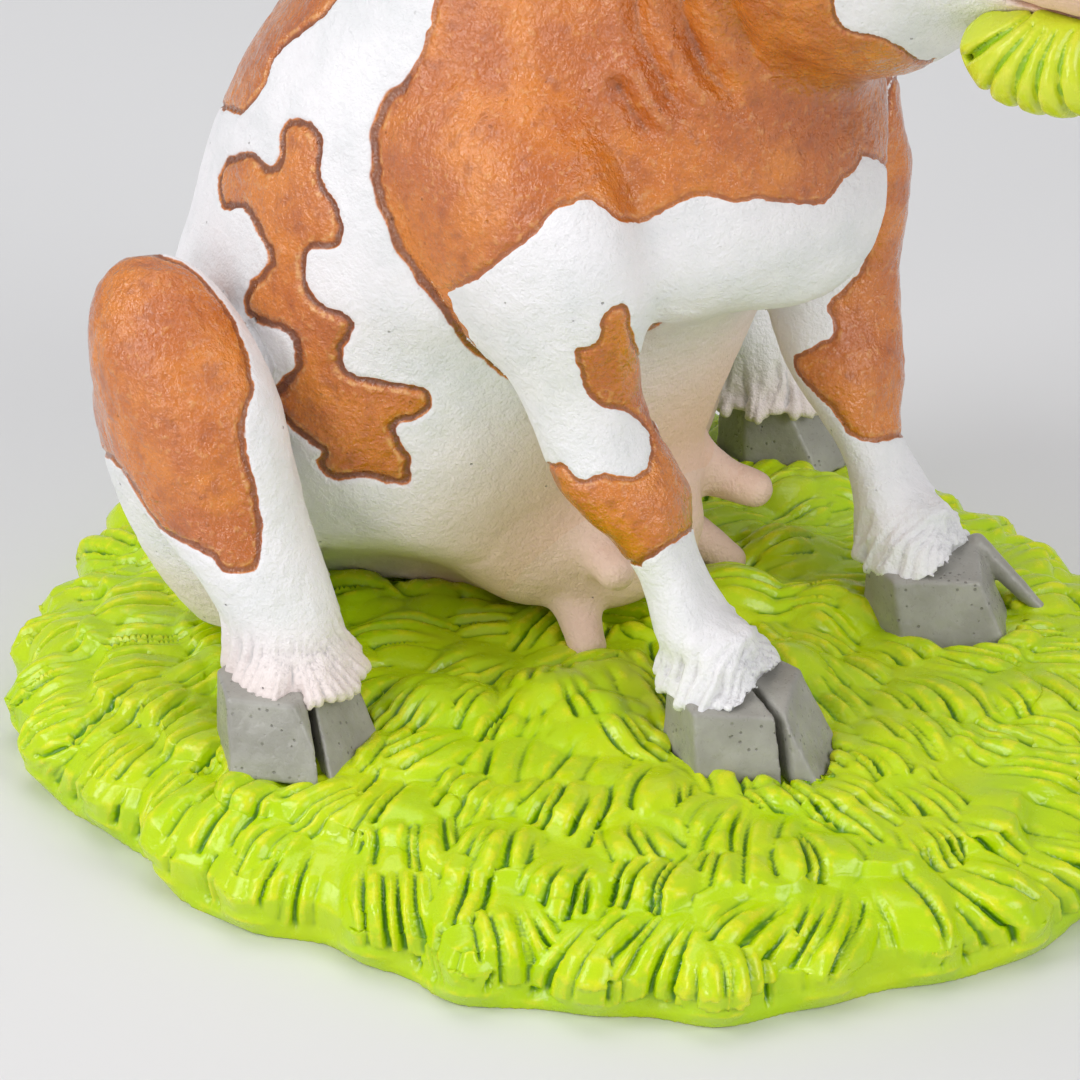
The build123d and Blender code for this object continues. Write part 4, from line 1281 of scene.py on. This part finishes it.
class Graph:
    """A new material and short calls for its nodes."""

    def __init__(self, name):
        self.material = bpy.data.materials.new(name)
        self.material.use_nodes = True
        self.tree = self.material.node_tree

    def painted(self, sockets):
        """The material, with values or other nodes' outputs on its shader's sockets."""
        shader = self.tree.nodes["Principled BSDF"]
        for name, value in sockets.items():
            self.feed(shader.inputs[name], value)
        return self.material

    def feed(self, socket, value):
        if isinstance(value, bpy.types.NodeSocket):
            self.tree.links.new(value, socket)
        else:
            socket.default_value = value

    def attribute(self, name):
        node = self.tree.nodes.new("ShaderNodeAttribute")
        node.attribute_name = name
        return node.outputs["Fac"]

    def place(self):
        return self.tree.nodes.new("ShaderNodeTexCoord").outputs["Object"]

    def noise(self, size_mm, detail=3.0, rough=0.55):
        node = self.tree.nodes.new("ShaderNodeTexNoise")
        node.inputs["Scale"].default_value = 1.0 / (size_mm * MM)
        node.inputs["Detail"].default_value = detail
        node.inputs["Roughness"].default_value = rough
        self.tree.links.new(self.place(), node.inputs["Vector"])
        return node.outputs["Fac"]

    def cells(self, size_mm):
        node = self.tree.nodes.new("ShaderNodeTexVoronoi")
        node.inputs["Scale"].default_value = 1.0 / (size_mm * MM)
        self.tree.links.new(self.place(), node.inputs["Vector"])
        return node.outputs["Distance"], node.outputs["Color"]

    def math(self, kind, first, second=0.0):
        node = self.tree.nodes.new("ShaderNodeMath")
        node.operation = kind
        self.feed(node.inputs[0], first)
        self.feed(node.inputs[1], second)
        return node.outputs[0]

    def times(self, first, second):
        return self.math("MULTIPLY", first, second)

    def ramp(self, value, low, high, start=0.0, end=1.0):
        """A smooth step of a value from one level to another."""
        node = self.tree.nodes.new("ShaderNodeMapRange")
        node.interpolation_type = "SMOOTHSTEP"
        self.feed(node.inputs["Value"], value)
        node.inputs["From Min"].default_value = low
        node.inputs["From Max"].default_value = high
        node.inputs["To Min"].default_value = start
        node.inputs["To Max"].default_value = end
        return node.outputs["Result"]

    def mix(self, share, first, second):
        node = self.tree.nodes.new("ShaderNodeMix")
        node.data_type = "RGBA"
        self.feed(node.inputs["Factor"], share)
        self.feed(node.inputs["A"], first)
        self.feed(node.inputs["B"], second)
        return node.outputs["Result"]

    def pits(self, size_mm, share, radius):
        """Pinholes: 1 inside a hole, in a share of the cells."""
        distance, colour = self.cells(size_mm)
        picked = self.ramp(colour, 1 - share - 0.02, 1 - share + 0.02)
        return self.times(self.ramp(distance, radius * 0.6, radius, 1.0, 0.0), picked)

    def bump(self, height, distance_mm, strength):
        node = self.tree.nodes.new("ShaderNodeBump")
        node.inputs["Strength"].default_value = strength
        node.inputs["Distance"].default_value = distance_mm * MM
        self.feed(node.inputs["Height"], height)
        return node.outputs["Normal"]


WHITE = (0.86, 0.845, 0.865, 1)
WHITE_SHADE = (0.76, 0.765, 0.78, 1)
WHITE_PAINTED_SHADE = (0.60, 0.58, 0.58, 1)
PIT_DARK = (0.28, 0.26, 0.25, 1)
BROWN = (0.50, 0.122, 0.010, 1)
BROWN_DARK = (0.33, 0.072, 0.009, 1)
BROWN_ORANGE = (0.67, 0.200, 0.012, 1)
# Painted shade (dark) and painted highlight (light orange), laid on the brown paint, the ears and the hair.
BROWN_PAINTED_SHADE = (0.14, 0.032, 0.008, 1)
ORANGE_PAINTED_HIGHLIGHT = (0.74, 0.34, 0.10, 1)
PEACH = (0.84, 0.565, 0.44, 1)
GREEN_PIT = (0.02, 0.05, 0.001, 1)
HOOF_GREY = (0.31, 0.30, 0.27, 1)
HOOF_PALE = (0.38, 0.37, 0.335, 1)
HOOF_PIT = (0.13, 0.125, 0.11, 1)
HOOF_PAINTED_SHADE = (0.06, 0.058, 0.05, 1)
IRIS_DARK = (0.05, 0.018, 0.006, 1)
IRIS_BROWN = (0.10, 0.04, 0.012, 1)
EYE_WHITE = (0.80, 0.78, 0.75, 1)
EYE_BRIGHT = (0.84, 0.82, 0.80, 1)
PUPIL_BLACK = (0.006, 0.006, 0.006, 1)
PAPER_GREY = (0.72, 0.72, 0.727, 1)
PAPER_PALE = (0.75, 0.75, 0.757, 1)


def coat_material():
    """White and brown paint over a cast, pebbly skin, with painted shade in hollows and grooves and painted
    highlights on ridges.
    """
    graph = Graph("coat")
    coat = graph.attribute("coat")
    edge = graph.attribute("edge")
    hollow = graph.attribute("hollow")
    broad = graph.noise(8.0, 4.0)
    pebble = graph.noise(0.9, 2.0, 0.5)
    streak = graph.noise(2.6, 4.0, 0.6)
    grit = graph.noise(0.32, 2.0)
    pit = graph.pits(2.3, 0.3, 0.085)
    white = graph.mix(graph.ramp(broad, 0.35, 0.75), WHITE, WHITE_SHADE)
    white = graph.mix(graph.attribute("peach"), white, PEACH)
    # Painted shade: the white turns grey in the hollows.
    white = graph.mix(graph.ramp(hollow, 0.06, 0.35, 0.0, 0.75), white, WHITE_PAINTED_SHADE)
    white = graph.mix(graph.times(pit, 0.6), white, PIT_DARK)
    brown = graph.mix(graph.ramp(broad, 0.36, 0.66), BROWN, BROWN_ORANGE)
    brown = graph.mix(graph.ramp(streak, 0.52, 0.72, 0.0, 0.55), brown, BROWN_DARK)
    # Painted highlight: light orange flecks on the raised tops of the pebbly grain.
    grain_highlight = graph.times(graph.ramp(pebble, 0.56, 0.70), graph.ramp(streak, 0.42, 0.60, 0.85, 0.1))
    brown = graph.mix(graph.times(grain_highlight, 0.55), brown, ORANGE_PAINTED_HIGHLIGHT)
    # Painted highlight on the ridges, then painted shade in the hollows.
    brown = graph.mix(graph.ramp(hollow, -0.05, -0.3, 0.0, 0.6), brown, ORANGE_PAINTED_HIGHLIGHT)
    brown = graph.mix(graph.ramp(hollow, 0.07, 0.42, 0.0, 0.7), brown, BROWN_PAINTED_SHADE)
    # Painted shade down the engraved groove along each patch's edge, and a painted highlight on its inner
    # lip.
    wobble = graph.math("ADD", coat, graph.times(graph.math("SUBTRACT", streak, 0.5), 0.7))
    band = graph.times(graph.ramp(wobble, 0.0, 0.25), graph.ramp(wobble, 0.65, 1.05, 1.0, 0.0))
    band = graph.times(band, edge)
    line = graph.times(graph.ramp(wobble, 0.9, 1.15), graph.ramp(wobble, 1.2, 1.6, 1.0, 0.0))
    line = graph.times(graph.times(line, edge), graph.ramp(pebble, 0.42, 0.6))
    brown = graph.mix(graph.times(band, 0.8), brown, BROWN_PAINTED_SHADE)
    brown = graph.mix(line, brown, ORANGE_PAINTED_HIGHLIGHT)
    painted = graph.ramp(coat, -0.08, 0.08)
    gloss = graph.ramp(painted, 0.0, 1.0, 0.50, 0.26)
    grain = graph.times(pebble, graph.ramp(coat, 0.3, 1.6, 0.45, 0.75))
    grain = graph.math("ADD", grain, graph.times(grit, 0.3))
    grain = graph.math("SUBTRACT", grain, graph.times(pit, 0.7))
    relief = graph.bump(grain, 0.5, 1.0)
    return graph.painted({
        "Base Color": graph.mix(painted, white, brown),
        "Roughness": graph.math("ADD", gloss, graph.ramp(streak, 0.3, 0.7, -0.06, 0.08)),
        "Normal": relief,
        "Coat Normal": relief,
        "Coat Weight": graph.ramp(painted, 0.0, 1.0, 0.0, 0.9),
        "Coat Roughness": 0.1,
    })


def grass_material(name, lime, deep, yellow):
    """Glossy paint with painted shade in the slits and hollows and a painted yellow highlight on the ridges.
    """
    graph = Graph(name)
    hollow = graph.attribute("hollow")
    slit = graph.attribute("slit")
    broad = graph.noise(10.0, 3.0)
    fine = graph.noise(1.6, 4.0)
    tiny = graph.noise(0.5, 3.0)
    colour = graph.mix(graph.ramp(broad, 0.35, 0.7, 0.0, 0.28), lime, yellow)
    # Painted highlight: yellow on the ridges.
    ridge_highlight = graph.times(graph.ramp(hollow, -0.04, -0.22), graph.ramp(fine, 0.38, 0.62))
    colour = graph.mix(graph.times(ridge_highlight, 0.75), colour, yellow)
    # Painted shade: deep green in the hollows and down the slits.
    colour = graph.mix(graph.ramp(hollow, 0.06, 0.42, 0.0, 0.85), colour, deep)
    colour = graph.mix(graph.ramp(slit, 0.35, 0.8, 0.0, 0.8), colour, deep)
    colour = graph.mix(graph.times(graph.pits(2.6, 0.1, 0.07), 0.8), colour, GREEN_PIT)
    height = graph.math("ADD", graph.times(fine, 0.6), graph.times(tiny, 0.25))
    return graph.painted({
        "Base Color": colour,
        "Roughness": graph.ramp(fine, 0.3, 0.7, 0.16, 0.30),
        "Specular IOR Level": 0.5,
        "Normal": graph.bump(height, 0.25, 0.6),
    })


def hoof_material():
    """Grey paint over a pitted cast, with painted shade in the hollows."""
    graph = Graph("hoof")
    broad = graph.noise(4.5, 4.0)
    fine = graph.noise(0.7, 3.0, 0.6)
    worn = graph.ramp(graph.noise(6.0, 2.0), 0.42, 0.60)
    pit = graph.times(graph.pits(0.85, 0.55, 0.24), worn)
    colour = graph.mix(graph.ramp(broad, 0.35, 0.7), HOOF_GREY, HOOF_PALE)
    colour = graph.mix(graph.times(pit, 0.6), colour, HOOF_PIT)
    # Painted shade: near black in the cleft and the hollows.
    colour = graph.mix(graph.ramp(graph.attribute("hollow"), 0.05, 0.4, 0.0, 0.9), colour, HOOF_PAINTED_SHADE)
    return graph.painted({
        "Base Color": colour,
        "Roughness": graph.ramp(fine, 0.3, 0.7, 0.26, 0.42),
        "Normal": graph.bump(graph.math("SUBTRACT", graph.times(fine, 0.5), pit), 0.22, 0.7),
    })


def ear_material():
    """Brown paint with a peach inside and painted shade in the hollows."""
    graph = Graph("ear")
    broad = graph.noise(3.0, 4.0)
    pebble = graph.noise(0.95, 2.0)
    brown = graph.mix(graph.ramp(broad, 0.35, 0.65), BROWN, BROWN_ORANGE)
    # Painted shade in the hollows.
    brown = graph.mix(graph.ramp(graph.attribute("hollow"), 0.05, 0.35, 0.0, 0.8), brown, BROWN_PAINTED_SHADE)
    brown = graph.mix(graph.ramp(graph.attribute("inner"), 0.15, 0.4, 0.0, 0.9), brown, PEACH)
    return graph.painted({
        "Base Color": brown,
        "Roughness": graph.ramp(broad, 0.3, 0.7, 0.34, 0.44),
        "Normal": graph.bump(pebble, 0.3, 0.8),
    })


def hair_material():
    """Brown hair with painted shade between its strands and a painted highlight on them."""
    graph = Graph("tuft")
    hollow = graph.attribute("hollow")
    broad = graph.noise(3.0, 4.0)
    brown = graph.mix(graph.ramp(broad, 0.35, 0.65), BROWN, BROWN_ORANGE)
    # Painted highlight on the strands, then painted shade between them.
    brown = graph.mix(graph.ramp(hollow, -0.03, -0.15, 0.0, 0.6), brown, ORANGE_PAINTED_HIGHLIGHT)
    brown = graph.mix(graph.ramp(hollow, 0.03, 0.25, 0.0, 0.9), brown, BROWN_PAINTED_SHADE)
    return graph.painted({
        "Base Color": brown,
        "Roughness": graph.ramp(broad, 0.3, 0.7, 0.34, 0.46),
        "Normal": graph.bump(graph.noise(0.6, 3.0), 0.15, 0.6),
    })


def plain_material(name, first, second, size_mm, roughness, metallic, bump_mm):
    """Two tones mixed by one grain."""
    graph = Graph(name)
    broad = graph.noise(size_mm, 4.0)
    return graph.painted({
        "Base Color": graph.mix(graph.ramp(broad, 0.35, 0.65), first, second),
        "Roughness": graph.ramp(broad, 0.3, 0.7, roughness * 0.85, roughness * 1.15),
        "Metallic": metallic,
        "Normal": graph.bump(graph.noise(size_mm * 0.3, 3.0), bump_mm, 0.6),
    })


# The middle of the coloured part of the left eye, in metres; the right eye mirrors it.
IRIS_PLACE = (0.0172, -0.0420, 0.1245)
IRIS_RADIUS = 0.0036
PUPIL_RADIUS = 0.0022
IRIS_EDGE = 0.0002
PUPIL_EDGE = 0.00015


def eye_material():
    """A pale ball with a brown iris and a black pupil, looking out to each side."""
    graph = Graph("eye")
    tree = graph.tree
    split = tree.nodes.new("ShaderNodeSeparateXYZ")
    tree.links.new(graph.place(), split.inputs[0])
    join = tree.nodes.new("ShaderNodeCombineXYZ")
    graph.feed(join.inputs[0], graph.math("ABSOLUTE", split.outputs[0]))
    graph.feed(join.inputs[1], split.outputs[1])
    graph.feed(join.inputs[2], split.outputs[2])
    away = tree.nodes.new("ShaderNodeVectorMath")
    away.operation = "DISTANCE"
    tree.links.new(join.outputs[0], away.inputs[0])
    away.inputs[1].default_value = IRIS_PLACE
    reach = away.outputs["Value"]
    iris = graph.mix(graph.noise(0.6, 3.0), IRIS_DARK, IRIS_BROWN)
    ball = graph.mix(graph.noise(3.0, 2.0), EYE_WHITE, EYE_BRIGHT)
    colour = graph.mix(graph.ramp(reach, IRIS_RADIUS - IRIS_EDGE, IRIS_RADIUS + IRIS_EDGE), iris, ball)
    pupil = graph.ramp(reach, PUPIL_RADIUS - PUPIL_EDGE, PUPIL_RADIUS + PUPIL_EDGE, 1.0, 0.0)
    return graph.painted({
        "Base Color": graph.mix(pupil, colour, PUPIL_BLACK),
        "Roughness": 0.08,
        "Coat Weight": 0.6,
    })


coat_paint_look = coat_material()
grass_look = grass_material("grass", (0.46, 0.68, 0.0, 1), (0.085, 0.27, 0.0, 1), (0.74, 0.76, 0.01, 1))
fodder_look = grass_material("fodder", (0.56, 0.68, 0.02, 1), (0.24, 0.46, 0.004, 1), (0.76, 0.74, 0.06, 1))
hoof_look = hoof_material()
ear_look = ear_material()
tuft_look = hair_material()
horn_look = plain_material("horn", (0.62, 0.53, 0.40, 1), (0.48, 0.38, 0.26, 1), 2.5, 0.32, 0.0, 0.1)
wood_look = plain_material("dowel_wood", (0.55, 0.38, 0.22, 1), (0.44, 0.28, 0.15, 1), 1.5, 0.55, 0.0, 0.1)
steel_look = plain_material("pin_steel", (0.52, 0.52, 0.53, 1), (0.44, 0.44, 0.45, 1), 1.0, 0.35, 1.0, 0.02)
eye_look = eye_material()

# The material and colour slot of each piece; the other castings have the coat's.
PIECE_LOOKS = {
    "grass_base": (grass_look, "grass_paint"),
    "mouth_grass": (fodder_look, "fodder_paint"),
    "tail_tuft": (tuft_look, "tuft_paint"),
    "udder": (coat_paint_look, "udder_paint"),
    "ear_right": (ear_look, "coat_paint"),
    "ear_left": (ear_look, "coat_paint"),
}
for node in HOOF_NODES:
    PIECE_LOOKS[node] = (hoof_look, "hoof_paint")
for node, piece in pieces.items():
    material, slot = PIECE_LOOKS.get(node, (coat_paint_look, "coat_paint"))
    piece.data.materials.append(material)
    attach(piece, "root")
    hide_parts(node)

# CAD nodes that are shown as they are
NODE_LOOKS = {
    "eye_right": eye_look,
    "eye_left": eye_look,
    "horn_right": horn_look,
    "horn_left": horn_look,
    "seat_dowels": wood_look,
    "neck_dowel": wood_look,
    "foreleg_dowels": wood_look,
    "hind_leg_dowels": wood_look,
    "hoof_pins": steel_look,
}
for node, material in NODE_LOOKS.items():
    mesh = nodes[node].data
    mesh.materials.clear()
    mesh.materials.append(material)

# Floor, light and camera, in metres

FLOOR_HALF = 2.0
SWEEP_START = 1.4
SWEEP_RADIUS = 0.35
SWEEP_STEPS = 16
BACK_RISE = 1.6
PAPER_GRAIN_MM = 400.0
LIGHT_TARGET = (0.0, 0.0, 0.06)
# Lamps: name, place, width and power
LAMPS = (
    ("key", (-0.80, 0.48, 0.72), 0.7, 5.4),
    ("fill", (-0.1, -1.1, 0.7), 0.8, 6.0),
    ("side", (-1.0, -0.03, 0.25), 0.32, 1.9),
    ("top", (0.1, 0.2, 1.2), 0.9, 3.4),
)
SKY_COLOUR = (0.98, 0.98, 1.0, 1)
SKY_STRENGTH = 0.40
CLIP_START = 0.01


def floor_sweep():
    """A pale floor that curves up into a backdrop behind the object."""
    behind = Vector((-VIEW_TOWARD[0], -VIEW_TOWARD[1], 0)).normalized()
    side = Vector((VIEW_RIGHT[0], VIEW_RIGHT[1], 0))
    profile = [(-FLOOR_HALF, 0.0), (SWEEP_START, 0.0)]
    for step in range(1, SWEEP_STEPS + 1):
        angle = math.pi / 2 * step / SWEEP_STEPS
        along = SWEEP_START + SWEEP_RADIUS * math.sin(angle)
        profile.append((along, SWEEP_RADIUS - SWEEP_RADIUS * math.cos(angle)))
    profile.append((SWEEP_START + SWEEP_RADIUS, BACK_RISE))
    rows = []
    for along, rise in profile:
        for across in (-FLOOR_HALF, FLOOR_HALF):
            rows.append(tuple(behind * along + side * across + Vector((0, 0, rise))))
    faces = [(2 * k, 2 * k + 1, 2 * k + 3, 2 * k + 2) for k in range(len(profile) - 1)]
    mesh = bpy.data.meshes.new("floor")
    mesh.from_pydata(rows, [], faces)
    mesh.shade_smooth()
    floor = bpy.data.objects.new("floor", mesh)
    bpy.context.scene.collection.objects.link(floor)
    graph = Graph("floor_paper")
    paper = graph.mix(graph.noise(PAPER_GRAIN_MM, 1.0), PAPER_GREY, PAPER_PALE)
    mesh.materials.append(graph.painted({"Base Color": paper, "Roughness": 0.7}))


def area_light(name, place, size, power):
    data = bpy.data.lights.new(name, "AREA")
    data.shape = "DISK"
    data.size = size
    data.energy = power
    lamp = bpy.data.objects.new(name, data)
    lamp.location = place
    lamp.rotation_euler = (Vector(LIGHT_TARGET) - Vector(place)).to_track_quat("-Z", "Y").to_euler()
    bpy.context.scene.collection.objects.link(lamp)


floor_sweep()
for lamp in LAMPS:
    area_light(*lamp)
world = bpy.data.worlds.new("studio")
world.use_nodes = True
world.node_tree.nodes["Background"].inputs[0].default_value = SKY_COLOUR
world.node_tree.nodes["Background"].inputs[1].default_value = SKY_STRENGTH
bpy.context.scene.world = world

camera_data = bpy.data.cameras.new("camera")
camera_data.sensor_width = SENSOR_MM
camera_data.lens = FOCAL_PIXELS * SENSOR_MM / PHOTO_SIZE
camera_data.clip_start = CLIP_START
camera = bpy.data.objects.new("camera", camera_data)
camera.matrix_world = Matrix((
    (VIEW_RIGHT[0], VIEW_UP[0], VIEW_TOWARD[0], VIEW_EYE[0] * MM),
    (VIEW_RIGHT[1], VIEW_UP[1], VIEW_TOWARD[1], VIEW_EYE[1] * MM),
    (VIEW_RIGHT[2], VIEW_UP[2], VIEW_TOWARD[2], VIEW_EYE[2] * MM),
    (0, 0, 0, 1),
))
bpy.context.scene.collection.objects.link(camera)
bpy.context.scene.camera = camera
bpy.context.scene.view_settings.view_transform = "Standard"
